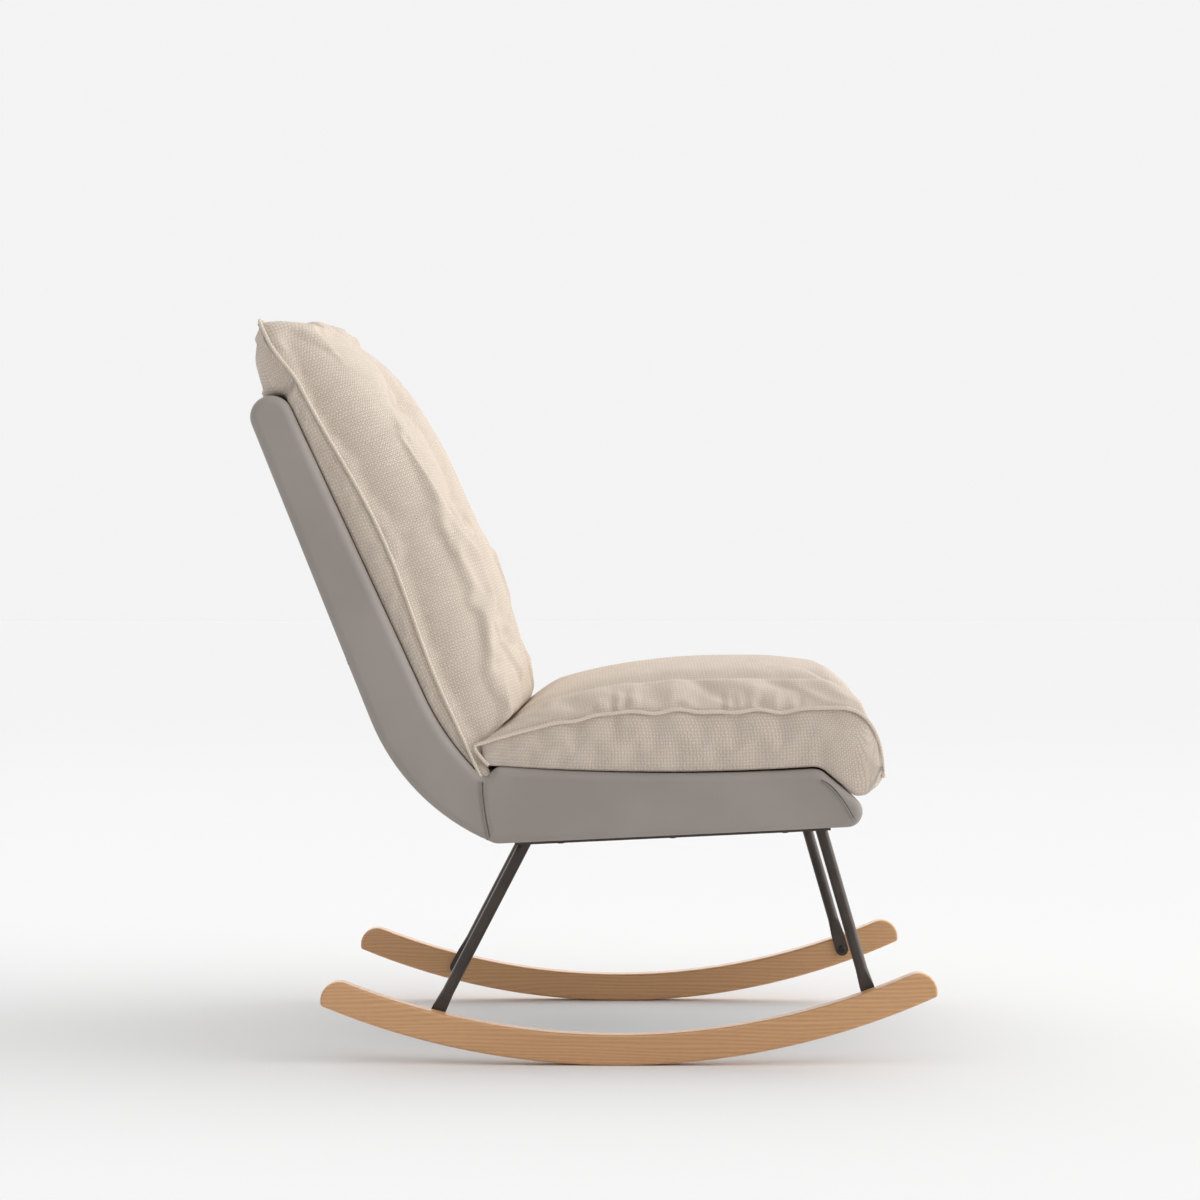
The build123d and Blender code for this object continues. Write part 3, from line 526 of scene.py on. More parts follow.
class Recipe:
    """A Geometry Nodes tree, whose inputs are named sizes."""

    def __init__(self, name, sizes):
        self.tree = bpy.data.node_groups.new(name, "GeometryNodeTree")
        faces = self.tree.interface
        faces.new_socket("Path", in_out="INPUT", socket_type="NodeSocketGeometry")
        for size in sizes:
            faces.new_socket(size, in_out="INPUT", socket_type="NodeSocketFloat")
        faces.new_socket("Coat", in_out="INPUT", socket_type="NodeSocketMaterial")
        faces.new_socket("Mesh", in_out="OUTPUT", socket_type="NodeSocketGeometry")
        self.given = self.tree.nodes.new("NodeGroupInput").outputs
        self.result = self.tree.nodes.new("NodeGroupOutput").inputs

    def node(self, kind, settings, inputs):
        """A node of a type, its settings, and its inputs by name or number, linked or set."""
        made = self.tree.nodes.new(kind)
        for key, setting in settings.items():
            setattr(made, key, setting)
        for key, value in inputs.items():
            if isinstance(value, bpy.types.NodeSocket):
                self.tree.links.new(value, made.inputs[key])
            else:
                made.inputs[key].default_value = value
        return made.outputs

    def captured(self, geometry, value, name):
        made = self.tree.nodes.new("GeometryNodeCaptureAttribute")
        made.capture_items.new("FLOAT", name)
        self.tree.links.new(geometry, made.inputs[0])
        self.tree.links.new(value, made.inputs[1])
        return made.outputs

    def end(self, geometry):
        real = self.node("GeometryNodeRealizeInstances", {}, {0: geometry})
        round_off = self.node("GeometryNodeSetShadeSmooth", {}, {0: real[0]})
        coated = self.node("GeometryNodeSetMaterial", {}, {0: round_off[0], "Material": self.given["Coat"]})
        self.tree.links.new(coated[0], self.result[0])
        return self.tree


def cord_recipe():
    """A cord of an oval section along a path, with its lengths along and round it as the cloth's UV map."""
    recipe = Recipe("cord", ("Width", "Height"))
    curve = recipe.node("GeometryNodeMeshToCurve", {}, {0: recipe.given["Path"]})
    run = recipe.node("GeometryNodeSplineParameter", {}, {})
    path = recipe.captured(curve[0], run["Length"], "run")
    circle = recipe.node("GeometryNodeCurvePrimitiveCircle", {}, {"Resolution": 12, "Radius": 0.5})
    turn = recipe.captured(circle[0], run["Length"], "turn")
    width = recipe.given["Width"]
    oval = recipe.node("ShaderNodeCombineXYZ", {}, {0: width, 1: recipe.given["Height"], 2: 1.0})
    section = recipe.node("GeometryNodeTransform", {}, {0: turn[0], "Scale": oval[0]})
    inputs = {0: path[0], "Profile Curve": section[0], "Fill Caps": True}
    tube = recipe.node("GeometryNodeCurveToMesh", {}, inputs)
    round_run = recipe.node("ShaderNodeMath", {"operation": "MULTIPLY"}, {0: turn[1], 1: width})
    place = recipe.node("ShaderNodeCombineXYZ", {}, {0: path[1], 1: round_run[0]})
    settings = {"data_type": "FLOAT2", "domain": "CORNER"}
    inputs = {0: tube[0], "Name": "cloth", "Value": place[0]}
    mapped = recipe.node("GeometryNodeStoreNamedAttribute", settings, inputs)
    return recipe.end(mapped[0])


def stitch_recipe():
    """A row of stitches along a path."""
    recipe = Recipe("stitches", ("Pitch", "Length", "Width"))
    curve = recipe.node("GeometryNodeMeshToCurve", {}, {0: recipe.given["Path"]})
    inputs = {0: curve[0], "Length": recipe.given["Pitch"]}
    places = recipe.node("GeometryNodeCurveToPoints", {"mode": "LENGTH"}, inputs)
    bead = recipe.node("GeometryNodeMeshUVSphere", {}, {"Segments": 8, "Rings": 6, "Radius": 0.5})
    width = recipe.given["Width"]
    size = recipe.node("ShaderNodeCombineXYZ", {}, {0: width, 1: width, 2: recipe.given["Length"]})
    inputs = {"Points": places["Points"], "Instance": bead[0], "Rotation": places["Rotation"]}
    inputs["Scale"] = size[0]
    row = recipe.node("GeometryNodeInstanceOnPoints", {}, inputs)
    return recipe.end(row[0])


CORD = cord_recipe()
STITCHES = stitch_recipe()


def follow(name, recipe, paths, material, body, slot, **sizes):
    """Add a piece made by a recipe along one or more paths."""
    mesh = bpy.data.meshes.new(name)
    points, edges = [], []
    for path in paths:
        edges += [(len(points) + step, len(points) + step + 1) for step in range(len(path) - 1)]
        points += [tuple(place) for place in path]
    mesh.from_pydata(points, edges, [])
    piece = bpy.data.objects.new(name, mesh)
    scene.collection.objects.link(piece)
    modifier = piece.modifiers.new(name, "NODES")
    modifier.node_group = recipe
    values = {**sizes, "Coat": material}
    for socket in recipe.interface.items_tree:
        if socket.in_out == "INPUT" and socket.name in values:
            modifier[socket.identifier] = values[socket.name]
    applied(piece)
    piece.data.shade_smooth()
    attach(piece, body)


# Back cushion: its seam, crest and sections, by the height up the back

BACK_LENGTH = 634 * MM
BACK_TUCK = 6 * MM  # of its lower end, below BACK_BASE
BACK_MIDDLE = 345 * MM  # up the back, where the cushion is thickest
BACK_CROWN = 152 * MM  # out from the back's line, in its middle
BACK_EDGE = 12 * MM  # out from the back's line, at its upper end
BACK_FOOT_REACH = 400 * MM  # down from the middle, to where the crest's curve would end
HEAD_FULLNESS = 3.1
FOOT_FULLNESS = 2.6
CREST_ROUNDNESS = 0.48
BACK_SEAM_OUT = 22 * MM  # of the piped seam, from the back's line
BACK_SEAM_BELLY = 14 * MM  # how much further it bows out
BELLY_START = 110 * MM
BELLY_RUN = 450 * MM
HEAD_SEAM_DROP = 12 * MM
HEAD_SEAM_END = 610 * MM
SIDE_LOBE = 0.95  # height of the lobes beside the tufts, as a share of the middle's
MIDDLE_SHARE = 0.42  # of the half width, that the middle's own swell takes
SIDE_SWELL = 7 * MM  # of the sides past their seam, where the cushion is thick
THICK = 90 * MM  # from the seam to the crest
CUSHION_HALF_WIDTH = 289 * MM
SIDE_DRAW = 5 * MM
HEAD_START = 540 * MM  # up the back, from where the head's seam drops back and its top swells
HEAD_PUFF = 5 * MM
SEAT_REAR_OUT = 35.6 * MM  # how far the seat cushion's rear end stands out from the back's line
SEAT_REAR_TOP = 130 * MM  # up the back, above all that meets the seat cushion
HANG_START = 544 * MM  # up the back, where the cushion's rear leaves the shell to hang over its top
HANG_END = 550 * MM
HANG_DEPTH = 41 * MM  # behind the back's line
HANG_STRIP_START = 530 * MM  # where the boxing strip's rear edge starts to leave the shell
HANG_STRIP_END = 548 * MM
BACK_STRIP_BOW = 2.5 * MM
BACK_STRIP_ROWS = 5
PIPING_WIDTH = 4.6 * MM
PIPING_PROUD = 2.6 * MM  # of the seam's line
CELL = 8 * MM  # of the cushions' meshes, before they are subdivided
BACK_COLUMNS = 108
SEAT_COLUMNS = 92
BACK_PANEL_RUN = 840 * MM
SEAT_PANEL_RUN = 600 * MM
DRAFT_COLUMNS = 401  # of a panel, before it is resampled
BACK_DRAFT_ROWS = 260
SEAT_DRAFT_ROWS = 300

# Tufts of the back cushion, and what they draw in

TUFT_ROWS = np.array((147.0, 314.5, 482.0)) * MM
TUFT_COLUMNS = np.array((-100.0, 100.0)) * MM
TUFT_DEPTH = 34 * MM
TUFT_WIDTH = 26 * MM
VALLEY_DEPTH = 19 * MM  # of the lines up the back through the tufts
VALLEY_WIDTH = 32 * MM
CREASE_DEPTH = 31 * MM  # of the lines across the back through the tufts
CREASE_HALF = 66 * MM
CREASE_OUTER_REACH = 112 * MM
CREASE_INNER_REACH = 42 * MM
CREASE_LENGTH = 84 * MM  # of the creases that the cloth holds, from the tufts to the sides

# Points that the cloth holds, and the seams that it is gathered to

SEAM_HOLD = 1.0 * MM
CREASE_HOLD = 4.5 * MM
TUFT_HOLD = 5 * MM
SHELL_HOLD = 4 * MM  # out from the shell's face
SHELL_HOLD_TOP = 546 * MM
DECK_HOLD = 3 * MM  # up from the deck
DECK_HOLD_FRONT = 315 * MM
REAR_HOLD = 20 * MM  # of the seat cushion's rear end
FRONT_OUT = 40 * MM  # from the back's line, beyond which a point is on the cushion's front
BACK_GATHER_REACH = 34 * MM
SEAT_GATHER_REACH = 30 * MM


def back_crest(height):
    """How far the cushion's middle stands out from the back's line."""
    reach = np.where(height > BACK_MIDDLE, BACK_LENGTH - BACK_MIDDLE, BACK_FOOT_REACH)
    share = np.clip(np.abs(height - BACK_MIDDLE) / reach, 0, 1)
    fullness = np.where(height > BACK_MIDDLE, HEAD_FULLNESS, FOOT_FULLNESS)
    return BACK_EDGE + (BACK_CROWN - BACK_EDGE) * (1 - share**fullness) ** CREST_ROUNDNESS


def back_seam(height):
    """How far the piped seam stands out from the back's line."""
    belly = np.sin(math.pi * np.clip((height - BELLY_START) / BELLY_RUN, 0, 1)) ** 2
    drop = HEAD_SEAM_DROP * smooth(height, HEAD_START, HEAD_SEAM_END)
    return BACK_SEAM_OUT + BACK_SEAM_BELLY * belly - drop


def back_half_width(height):
    share = np.clip(height / BACK_LENGTH, 0, 1)
    return CUSHION_HALF_WIDTH - SIDE_DRAW * np.sin(math.pi * share)


def tuft_pull(across, height):
    """How deep the tufts, and the valleys and creases through them, draw the cushion's face in."""
    pull = np.zeros(np.broadcast(across, height).shape)
    for column in TUFT_COLUMNS:
        away = np.abs(across - column)
        outer = np.abs(across) > abs(column)
        reach = np.where(outer, CREASE_OUTER_REACH, CREASE_INNER_REACH)
        ends = smooth(height, 50 * MM, 150 * MM) * (1 - smooth(height, 500 * MM, 590 * MM))
        valley = VALLEY_DEPTH * np.exp(-((away / VALLEY_WIDTH) ** 1.8)) * ends
        pull = np.maximum(pull, valley)
        for row in TUFT_ROWS:
            distance = np.hypot(across - column, height - row)
            pull = np.maximum(pull, TUFT_DEPTH * np.exp(-((distance / TUFT_WIDTH) ** 0.95)))
            line = np.clip(1 - np.abs(height - row) / CREASE_HALF, 0, 1) ** 2
            pull = np.maximum(pull, CREASE_DEPTH * line * np.exp(-((away / reach) ** 3)))
    return pull


def back_front_panel():
    turn = np.linspace(-1, 1, DRAFT_COLUMNS)
    share = np.sign(turn) * np.sin(np.abs(turn) * math.pi / 2) ** 0.75
    rows = []
    for height in np.linspace(-BACK_TUCK, BACK_LENGTH, BACK_DRAFT_ROWS):
        crest, half = float(back_crest(height)), float(back_half_width(height))
        seam = min(float(back_seam(height)), crest)
        middle = np.clip(1 - (share / MIDDLE_SHARE) ** 2, 0, 1)
        rise = SIDE_LOBE * (1 - np.abs(share) ** 6) ** 0.52 + (1 - SIDE_LOBE) * middle
        thick = np.clip((crest - seam) / THICK, 0, 1)
        swell = SIDE_SWELL * np.sin(math.pi * np.clip(rise, 0, 1)) * thick
        across = share * half + np.sign(share) * swell * smooth(np.abs(share), 0.45, 0.8)
        faded = np.clip(rise * 1.5 - 0.5, 0, 1)  # so that nothing is drawn in at the seam
        out = seam + (crest - seam) * rise - tuft_pull(across, height) * faded
        head = np.clip((height - HEAD_START) / (BACK_LENGTH - HEAD_START), 0, 1)
        puff = HEAD_PUFF * math.sin(math.pi * head**5) * (1 - np.abs(share) ** 4)
        rows.append(spread(on_back(across, height + puff, out), BACK_COLUMNS))
    return spread_rows(np.array(rows), round(BACK_PANEL_RUN / CELL))


def boxed_row(seams, corners, bow, middle, count, strip_count):
    """A row of points from a seam down a boxing strip, across under the cushion and up to the other seam."""
    strip = np.linspace(0, 1, strip_count, endpoint=False)[:, None]
    across = np.linspace(0, 1, count - 2 * strip_count)[:, None]
    bowed = bow * np.sin(math.pi * strip)
    near_side = seams[0] + (corners[0] - seams[0]) * strip + bowed * np.array((0, -1, 0))
    far_side = seams[1] + (corners[1] - seams[1]) * strip + bowed * np.array((0, 1, 0))
    flat = corners[0] + (corners[1] - corners[0]) * across + middle(2 * across - 1)
    return np.concatenate((near_side, flat, far_side[::-1]))


def back_rear(height):
    """How far the rear stands out from the back's line. It lies on the shell and hangs over its top."""
    over = smooth(height, HANG_START, HANG_END)
    top = np.clip((height - HANG_END) / (BACK_LENGTH - HANG_END), 0, 1)
    bulge = -HANG_DEPTH * (1 - top**2.4) ** 0.6
    return (back_face(height) + LIE_GAP) * (1 - over) + bulge * over


def back_rear_panel(border):
    """The boxing strips and the rear of the cushion, with the same border as its front panel."""
    rows = []
    count = border.shape[1]
    for right, left in zip(border[:, 0], border[:, -1]):
        height = np.dot(right - BACK_BASE, BACK_UP)
        half, seam = abs(right[1]), np.dot(right - BACK_BASE, BACK_OUT)
        rear = float(back_rear(height))
        over = float(smooth(height, HANG_STRIP_START, HANG_STRIP_END))
        edge = min(rear * (1 - over) + (seam - 5 * MM) * over, seam - 0.3 * MM)
        side = half - 0.5 * MM
        sunk = edge - CORNER_SINK
        corners = [on_back(np.array(way * side), np.array(height), np.array(sunk)) for way in (-1, 1)]

        def middle(share, depth=rear - edge):
            return (CORNER_SINK + depth * (1 - np.abs(share) ** 9) ** 0.45) * BACK_OUT

        rows.append(boxed_row((right, left), corners, BACK_STRIP_BOW, middle, count, BACK_STRIP_ROWS))
    grid = np.array(rows)
    grid[0] = border[0]
    grid[-1] = border[-1]
    return grid


def clear_of_seat(points):
    """The back cushion's points, pressed back to where the seat cushion's top and rear end meet it."""
    local = points - BACK_BASE
    low = local @ BACK_UP < SEAT_REAR_TOP
    over = (PARTING_POINT - points) @ PARTING_NORMAL - LIE_GAP
    behind = SEAT_REAR_OUT - LIE_GAP - local @ BACK_OUT
    pressed = press(points, over, -PARTING_NORMAL)
    pushed = press(points, behind, -BACK_OUT, 2 * MM)
    chosen = np.where((over > behind)[:, None], pressed, pushed)
    return np.where(low[:, None], chosen, points)


def make_back_cushion():
    front = back_front_panel()
    rear = back_rear_panel(front)
    piece = sewn("back_cushion_cloth", [front, rear], CLOTH)
    points = read_points(piece.data)
    local = points - BACK_BASE
    height, out, across = local @ BACK_UP, local @ BACK_OUT, local[:, 1]
    seam_points = np.concatenate((front[:, 0], front[:, -1], front[0], front[-1]))
    distance, _ = distance_to(points, seam_points)
    held = distance < SEAM_HOLD
    held |= (out < back_face(height) + SHELL_HOLD) & (height < SHELL_HOLD_TOP)
    for column in TUFT_COLUMNS:
        for row in TUFT_ROWS:
            outward = (across - column) * np.sign(column)
            crease = (outward > 0) & (outward < CREASE_LENGTH) & (np.abs(height - row) < CREASE_HOLD)
            tuft = np.hypot(across - column, height - row) < TUFT_HOLD
            held |= (tuft | crease) & (out > FRONT_OUT)
    side_distance, _ = distance_to(points, np.concatenate((front[:, 0], front[:, -1])))
    below_head = 1 - smooth(height, 480 * MM, 580 * MM)
    gathered = np.exp(-((side_distance / BACK_GATHER_REACH) ** 2)) * below_head
    inflate(piece, held, gathered, pressure=3.0, spare=0.03, spare_at_seams=0.06, cap=11 * MM)
    write_points(piece.data, clear_of_seat(read_points(piece.data)))
    subdivided(piece)
    right = front[:, 0] + np.array((0, -PIPING_PROUD, 0))
    left = front[:, -1] + np.array((0, PIPING_PROUD, 0))
    top = front[-1] + PIPING_PROUD * BACK_UP
    seam = np.concatenate((right, top[1:-1], left[::-1]))
    return piece, [seam]


# Seat cushion: its seam, crest and sections, by x

SEAT_FRONT = 360 * MM
SEAT_REAR = -150 * MM
SEAT_DECK_REAR = -134 * MM  # where the cushion's underside starts to rise to its rear corner
SEAT_CROWN_X = 175 * MM
SEAT_CROWN_Z = 494 * MM
SEAT_LIP_Z = 339 * MM
SEAT_SEAM_Z = 444 * MM
SEAT_NOSE = 57 * MM
SEAT_NOSE_Z = 363 * MM
SEAT_REAR_Z = 402 * MM
SEAM_LIFT = 5 * MM  # of the seam, from the seat's middle to its nose
SEAM_FALL_X = 60 * MM  # behind which the seam falls to the rear corner
CROWN_DROP = 6 * MM  # of the crest, towards the nose
NOSE_DRAW = 10 * MM  # of the sides, at the front end
EDGE_ROLL_SHARE = 0.66  # of the cushion's rise, which its rolled edges reach
CROWN_SHARE = 0.34
CROWN_WIDTH = 0.8  # of the whole width
VALLEY_PLACE = 0.73  # of the half width, where a soft valley runs along each side of the top
VALLEY_SPREAD = 0.06
SEAT_VALLEY_DEPTH = 13 * MM
FULL_RISE = 50 * MM  # of the crest above the seam, where the valley has its full depth
LIP_X = 300 * MM  # where the underside starts to rise to the nose's seam
LIP_RUN = 60 * MM
SEAT_STRIP_BOW = 4.5 * MM
SEAT_STRIP_ROWS = 10
FOLD_PITCH = 4.9 * MM
FOLD_REACH = 31 * MM  # from the seam
FOLD_HEIGHT = 3.0 * MM
FOLD_HEIGHT_BELOW = 0.6 * MM  # below the seam, on the boxing strip
SEAT_SEAM_TAIL = (  # from the seam's ends down the rear edge, as (x, z) in mm
    (-132.5, 376.8),
    (-136.0, 380.0),
    (-141.5, 386.0),
    (-147.0, 393.0),
    (-150.0, 398.0),
)


def seat_seam(x):
    """The height of the piped seam, straight but for a slight wave, and falling at both ends."""
    level = SEAT_FRONT - SEAT_NOSE
    turn = np.clip((x - level) / SEAT_NOSE, 0, 1)
    front = SEAT_NOSE_Z + (SEAT_SEAM_Z + SEAM_LIFT - SEAT_NOSE_Z) * (1 - turn**2.4) ** (1 / 2.2)
    rear = np.clip((SEAM_FALL_X - x) / (SEAM_FALL_X - SEAT_REAR), 0, 1)
    strong = smooth(x, -80 * MM, 0) * (1 - smooth(x, 250 * MM, 290 * MM))
    wave = 1.6 * MM * np.sin(x / (14 * MM)) + 1.2 * MM * np.sin(x / (8.3 * MM) + 2)
    lift = SEAM_LIFT * smooth(x, 200 * MM, 300 * MM)
    flat = SEAT_SEAM_Z + lift - (SEAT_SEAM_Z - SEAT_REAR_Z) * rear**1.6
    return np.where(x > level, front, flat + wave * strong)


def seat_crest(x):
    """The height of the cushion's middle."""
    ahead = x > SEAT_CROWN_X
    reach = np.where(ahead, SEAT_FRONT + 30 * MM - SEAT_CROWN_X, 400 * MM)
    share = np.clip(np.abs(x - SEAT_CROWN_X) / reach, 0, 1)
    nose = np.clip((x - SEAT_FRONT + SEAT_NOSE) / SEAT_NOSE, 0, 1)
    rise = np.where(ahead, ((1 - share**8) * (1 - nose**6)) ** 0.5, (1 - share**2) ** 0.6)
    low = np.where(ahead, SEAT_NOSE_Z, SEAT_LIP_Z)
    return low + (SEAT_CROWN_Z - low) * rise - CROWN_DROP * smooth(x, 215 * MM, 300 * MM)


def seat_half_width(x):
    share = np.clip((x - SEAT_REAR) / (SEAT_FRONT - SEAT_REAR), 0, 1)
    nose_draw = NOSE_DRAW * smooth(x, 335 * MM, SEAT_FRONT)
    return CUSHION_HALF_WIDTH - SIDE_DRAW * np.sin(math.pi * share) - nose_draw


def seat_top_panel():
    steps = np.linspace(0, 1, SEAT_DRAFT_ROWS)
    places = SEAT_REAR + (SEAT_FRONT - SEAT_REAR) * np.sin(steps * math.pi / 2) ** 0.9
    turn = np.linspace(-1, 1, DRAFT_COLUMNS)
    share = np.sign(turn) * np.sin(np.abs(turn) * math.pi / 2)
    valley = SEAT_VALLEY_DEPTH * np.exp(-(((np.abs(share) - VALLEY_PLACE) / VALLEY_SPREAD) ** 2))
    rows = []
    for x in places:
        seam, crest, half = float(seat_seam(x)), float(seat_crest(x)), float(seat_half_width(x))
        rise = max(crest - seam, 0.0)
        edge_roll = EDGE_ROLL_SHARE * (1 - np.abs(share) ** 9) ** 0.5
        crown = CROWN_SHARE * np.clip(1 - (share / CROWN_WIDTH) ** 2, 0, 1)
        height = seam + rise * (edge_roll + crown) - valley * min(rise / FULL_RISE, 1)
        across = share * half
        rows.append(spread(np.stack((np.full_like(across, x), across, height), axis=1), SEAT_COLUMNS))
    return spread_rows(np.array(rows), round(SEAT_PANEL_RUN / CELL))


def seat_low_panel(border):
    """The boxing strips and the underside, with the same border as the top panel."""

    def level(share):
        return SEAT_CORNER_SINK * np.array((0, 0, 1))

    rows = []
    count = border.shape[1]
    for right, left in zip(border[:, 0], border[:, -1]):
        x, seam, half = right[0], right[2], abs(right[1])
        lip = np.clip((x - LIP_X) / LIP_RUN, 0, 1)
        floor = max(float(deck_face(x)) + LIE_GAP, SEAT_LIP_Z)
        rear = np.clip((SEAT_DECK_REAR - x) / (SEAT_DECK_REAR - SEAT_REAR), 0, 1)
        low = floor + (seam - 3 * MM - floor) * lip**8
        low = min(low + (seam - 1 * MM - low) * rear**1.3, seam - 0.5 * MM)
        side = max(half, CUSHION_HALF_WIDTH + 3 * MM - 4 * MM * max(rear, lip))
        sunk = low - SEAT_CORNER_SINK
        corners = (np.array((x, -side, sunk)), np.array((x, side, sunk)))
        bow = SEAT_STRIP_BOW * np.clip((seam - low) / (60 * MM), 0, 1)
        rows.append(boxed_row((right, left), corners, bow, level, count, SEAT_STRIP_ROWS))
    grid = np.array(rows)
    grid[0] = border[0]
    grid[-1] = border[-1]
    return grid


def gathers(piece, seam_points):
    """Short folds across the seam of a seat cushion's sides, where its top is gathered to the piping."""
    points = read_points(piece.data)
    normals = np.empty(len(points) * 3, dtype=np.float32)
    piece.data.vertices.foreach_get("normal", normals)
    normals = normals.reshape(-1, 3)
    distance, nearest = distance_to(points, seam_points)
    x = seam_points[nearest][:, 0]
    above = points[:, 2] > seam_points[nearest][:, 2]
    turn = x / FOLD_PITCH + 0.9 * np.sin(x / (17 * MM)) + 0.8 * np.sin(x / (41 * MM))
    wave = 2 * np.abs(np.sin(turn)) - 1.2
    strong = smooth(x, -60 * MM, 60 * MM) * (1 - smooth(x, 250 * MM, 320 * MM))
    fade = np.exp(-((distance / FOLD_REACH) ** 2)) * np.clip(distance / (7 * MM), 0, 1)
    size = np.where(above, FOLD_HEIGHT, FOLD_HEIGHT_BELOW) * (0.65 + 0.35 * np.sin(x / (29 * MM) + 1))
    write_points(piece.data, points + (wave * strong * fade * size)[:, None] * normals)


def make_seat_cushion():
    top = seat_top_panel()
    low = seat_low_panel(top)
    piece = sewn("seat_cushion_cloth", [top, low], CLOTH)
    points = read_points(piece.data)
    seam_points = np.concatenate((top[:, 0], top[:, -1], top[0], top[-1]))
    distance, _ = distance_to(points, seam_points)
    x, height = points[:, 0], points[:, 2]
    held = distance < SEAM_HOLD
    held |= (height < deck_face(x) + DECK_HOLD) & (x < DECK_HOLD_FRONT)
    held |= x < SEAT_REAR + REAR_HOLD
    gathered = np.exp(-((distance / SEAT_GATHER_REACH) ** 2))
    inflate(piece, held, gathered, pressure=3.0, spare=0.02, spare_at_seams=0.08, cap=12 * MM)
    points = read_points(piece.data)
    beyond = (points - PARTING_POINT) @ PARTING_NORMAL - LIE_GAP
    rear = points[:, 0] < 20 * MM
    pressed = press(points, beyond, PARTING_NORMAL, 4 * MM)
    write_points(piece.data, np.where(rear[:, None], pressed, points))
    subdivided(piece)
    gathers(piece, np.concatenate((top[:, 0], top[:, -1])))
    right = top[:, 0] + np.array((0, -PIPING_PROUD, 0))
    left = top[:, -1] + np.array((0, PIPING_PROUD, 0))
    tail = np.array([(x * MM, 0, z * MM) for x, z in SEAT_SEAM_TAIL])
    seam = np.concatenate((
        tail + np.array((0, right[0, 1], 0)),
        right,
        top[-1][1:-1] + PIPING_PROUD * np.array((1, 0, 0)),
        left[::-1],
        tail[::-1] + np.array((0, left[0, 1], 0)),
    ))
    return piece, [seam]


# Seams of the shell: grooves drawn as dark cords of painted shade, rolled edges and rows of topstitching.
# Side paths are (x, z) in mm.

SIDE_SEAM = ((-140.2, 357.0), (-139.7, 340.3), (-136.8, 317.3), (-133.7, 300.6), (-130.4, 286.0))
NOSE_SEAM = ((281.0, 359.8), (287.0, 357.8), (294.0, 352.8), (302.0, 343.8), (311.0, 331.8), (325.0, 308.0))
ROLL_WIDTH = 3.2 * MM
ROLL_HEIGHT = 0.9 * MM
GROOVE_WIDTH = 0.9 * MM
REAR_SEAM_Z = 505.6 * MM
REAR_SEAM_HALF = 294 * MM
SEAM_TUCK = 4 * MM  # of a seam's lower end, round the shell's edge
SEAM_TUCK_RUN = 9 * MM
SIDE_POINTS = 80
EASING_ROUNDS = 60
REAR_POINTS = 60
SHELL = ("chair", "shell_leather")
GROOVE = {"Width": GROOVE_WIDTH, "Height": GROOVE_WIDTH}
ROLL = {"Width": ROLL_WIDTH, "Height": ROLL_HEIGHT}
STITCH = {"Pitch": 4.6 * MM, "Length": 3.4 * MM, "Width": 0.8 * MM}


def side_path(stations, side, shift=0.0):
    """A smooth path on a side of the shell along points given as (x, z) in mm, shifted square to itself."""
    flat = np.array(stations) * MM
    run = np.concatenate(([0.0], np.cumsum(np.linalg.norm(np.diff(flat, axis=0), axis=1))))
    dense = np.linspace(0, run[-1], SIDE_POINTS)
    eased = np.stack([np.interp(dense, run, flat[:, axis]) for axis in range(2)], axis=1)
    for _ in range(EASING_ROUNDS):
        eased[1:-1] = (eased[:-2] + 2 * eased[1:-1] + eased[2:]) / 4
    way = np.gradient(eased, axis=0)
    way /= np.linalg.norm(way, axis=1, keepdims=True)
    eased = eased + shift * np.stack((way[:, 1], -way[:, 0]), axis=1)
    ends = np.clip(1 - (run[-1] - dense) / SEAM_TUCK_RUN, 0, 1)
    across = side * (SHELL_SIDE - SEAM_TUCK * ends**2)
    return np.stack((eased[:, 0], across, eased[:, 1]), axis=1)


def rear_path(level):
    """A path across the shell's rear face at a height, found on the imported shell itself."""
    shell = nodes["rear_cover"]
    path = []
    for across in np.linspace(-REAR_SEAM_HALF, REAR_SEAM_HALF, REAR_POINTS):
        found, place, _, _ = shell.ray_cast(Vector((-1.0, across, level)), Vector((1.0, 0.0, 0.0)))
        if found:
            path.append(tuple(place))
    return np.array(path)


def make_rear_seam():
    groove = [rear_path(REAR_SEAM_Z)]
    follow("rear_seam_groove", CORD, groove, HIDE_GROOVE_SHADE, *SHELL, **GROOVE)
    rolls = [rear_path(REAR_SEAM_Z + shift) for shift in (2 * MM, -2 * MM)]
    follow("rear_seam_rolls", CORD, rolls, HIDE, *SHELL, **ROLL)


def make_shell_seams():
    for side, word in ((-1, "right"), (1, "left")):
        for name, stations, rolls, stitches in (
            ("side_seam", SIDE_SEAM, (-2.0, 2.0), (-5.4, 4.6)),
            ("nose_seam", NOSE_SEAM, (2.2,), ()),
        ):
            groove = [side_path(stations, side)]
            follow(f"{name}_groove_{word}", CORD, groove, HIDE_GROOVE_SHADE, *SHELL, **GROOVE)
            edges = [side_path(stations, side, shift * MM) for shift in rolls]
            follow(f"{name}_roll_{word}", CORD, edges, HIDE, *SHELL, **ROLL)
            if stitches:
                rows = [side_path(stations, side, shift * MM) for shift in stitches]
                follow(f"{name}_stitches_{word}", STITCHES, rows, THREAD, *SHELL, **STITCH)


# Floor, lights and camera

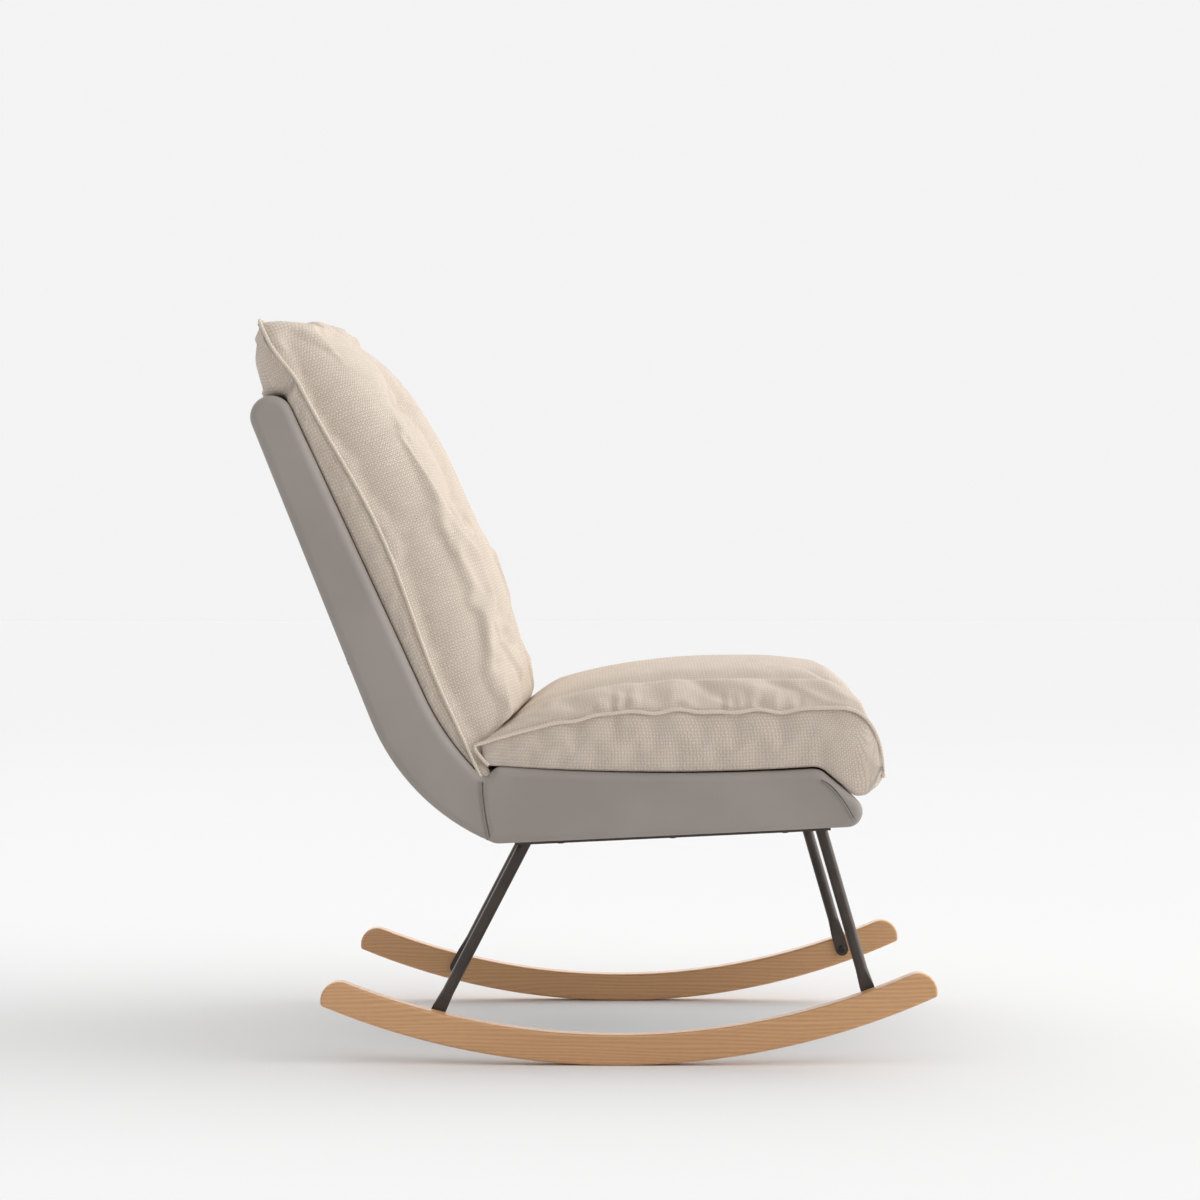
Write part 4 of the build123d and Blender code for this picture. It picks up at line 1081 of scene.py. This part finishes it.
CAMERA_LENS = 85
CAMERA_SENSOR = 36
CAMERA_PLACE = (46 * MM, -3821 * MM, 622 * MM)
CAMERA_TILT = math.radians(90 - 0.627)
CAMERA_PAN = math.radians(0.647)
FLOOR_SIZE = 60
FLOOR_DROP = 0.2 * MM  # below the rockers
# The floor is painted darker towards the back, as painted shade, so that its far part meets the backdrop
# without a step.
FLOOR_FADE = (0.5, 9.0)  # behind the chair, from its near tone to its far one
WALL_SHADE = 0.90  # of the backdrop, as the camera sees it
FLOOR_NEAR = shade(245, 245, 245)
FLOOR_FAR = shade(240, 240, 240)
SOFT_LIGHT = 0.15
SUNS = (  # name, strength, width in degrees and the way it shines
    ("overhead", 2.12, 152, (-0.25, -0.38, -1.0)),
    ("front", 1.95, 70, (-1.0, 0.0, -0.3)),
    ("rear", 0.4, 120, (0.0, -1.0, -0.6)),
)


def make_stage():
    bpy.ops.mesh.primitive_plane_add(size=FLOOR_SIZE, location=(0, 0, -FLOOR_DROP))
    floor = bpy.context.object
    floor.name = "floor"
    m = Sheet("floor")
    m.shader.inputs["Specular IOR Level"].default_value = 0.0
    color = m.mix(m.place().part(1).ramp(*FLOOR_FADE), FLOOR_NEAR, FLOOR_FAR)
    floor.data.materials.append(m.finish(Base_Color=color, Roughness=0.9))


def make_light():
    """Soft light from all round, a plain backdrop for camera and reflections, and three wide suns."""
    world = bpy.data.worlds.new("studio")
    scene.world = world
    world.use_nodes = True
    tree = world.node_tree
    soft = tree.nodes["Background"]
    soft.inputs["Color"].default_value = (1.0, 1.0, 1.0, 1)
    soft.inputs["Strength"].default_value = SOFT_LIGHT
    backdrop = tree.nodes.new("ShaderNodeBackground")
    backdrop.inputs["Color"].default_value = (WALL_SHADE, WALL_SHADE, WALL_SHADE, 1)
    ray = tree.nodes.new("ShaderNodeLightPath")
    choice = tree.nodes.new("ShaderNodeMixShader")
    seen = tree.nodes.new("ShaderNodeMath")
    seen.operation = "MAXIMUM"
    tree.links.new(ray.outputs["Is Camera Ray"], seen.inputs[0])
    tree.links.new(ray.outputs["Is Glossy Ray"], seen.inputs[1])
    tree.links.new(seen.outputs[0], choice.inputs[0])
    tree.links.new(soft.outputs[0], choice.inputs[1])
    tree.links.new(backdrop.outputs[0], choice.inputs[2])
    tree.links.new(choice.outputs[0], tree.nodes["World Output"].inputs["Surface"])
    for name, energy, angle, way in SUNS:
        sun = bpy.data.lights.new(name, "SUN")
        sun.energy = energy
        sun.angle = math.radians(angle)
        holder = bpy.data.objects.new(name, sun)
        scene.collection.objects.link(holder)
        holder.rotation_euler = Vector(way).to_track_quat("-Z", "Y").to_euler()


def make_camera():
    lens = bpy.data.cameras.new("camera")
    lens.lens = CAMERA_LENS
    lens.sensor_width = CAMERA_SENSOR
    camera = bpy.data.objects.new("camera", lens)
    scene.collection.objects.link(camera)
    camera.location = CAMERA_PLACE
    camera.rotation_euler = (CAMERA_TILT, 0, CAMERA_PAN)
    scene.camera = camera


scene.view_settings.view_transform = "Standard"
make_camera()
make_stage()
make_light()
dress_nodes()
make_shell_seams()
make_rear_seam()

back_cloth, back_seams = make_back_cushion()
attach(back_cloth, "back_cushion")
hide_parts("back_cushion")
piping = {"Width": PIPING_WIDTH, "Height": PIPING_WIDTH}
follow("back_cushion_piping", CORD, back_seams, PIPING_PAINTED_LIGHT, "back_cushion", "cushion_fabric", **piping)

seat_cloth, seat_seams = make_seat_cushion()
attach(seat_cloth, "seat_cushion")
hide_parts("seat_cushion", "seat_cushion_core")
follow("seat_cushion_piping", CORD, seat_seams, PIPING_PAINTED_LIGHT, "seat_cushion", "cushion_fabric", **piping)
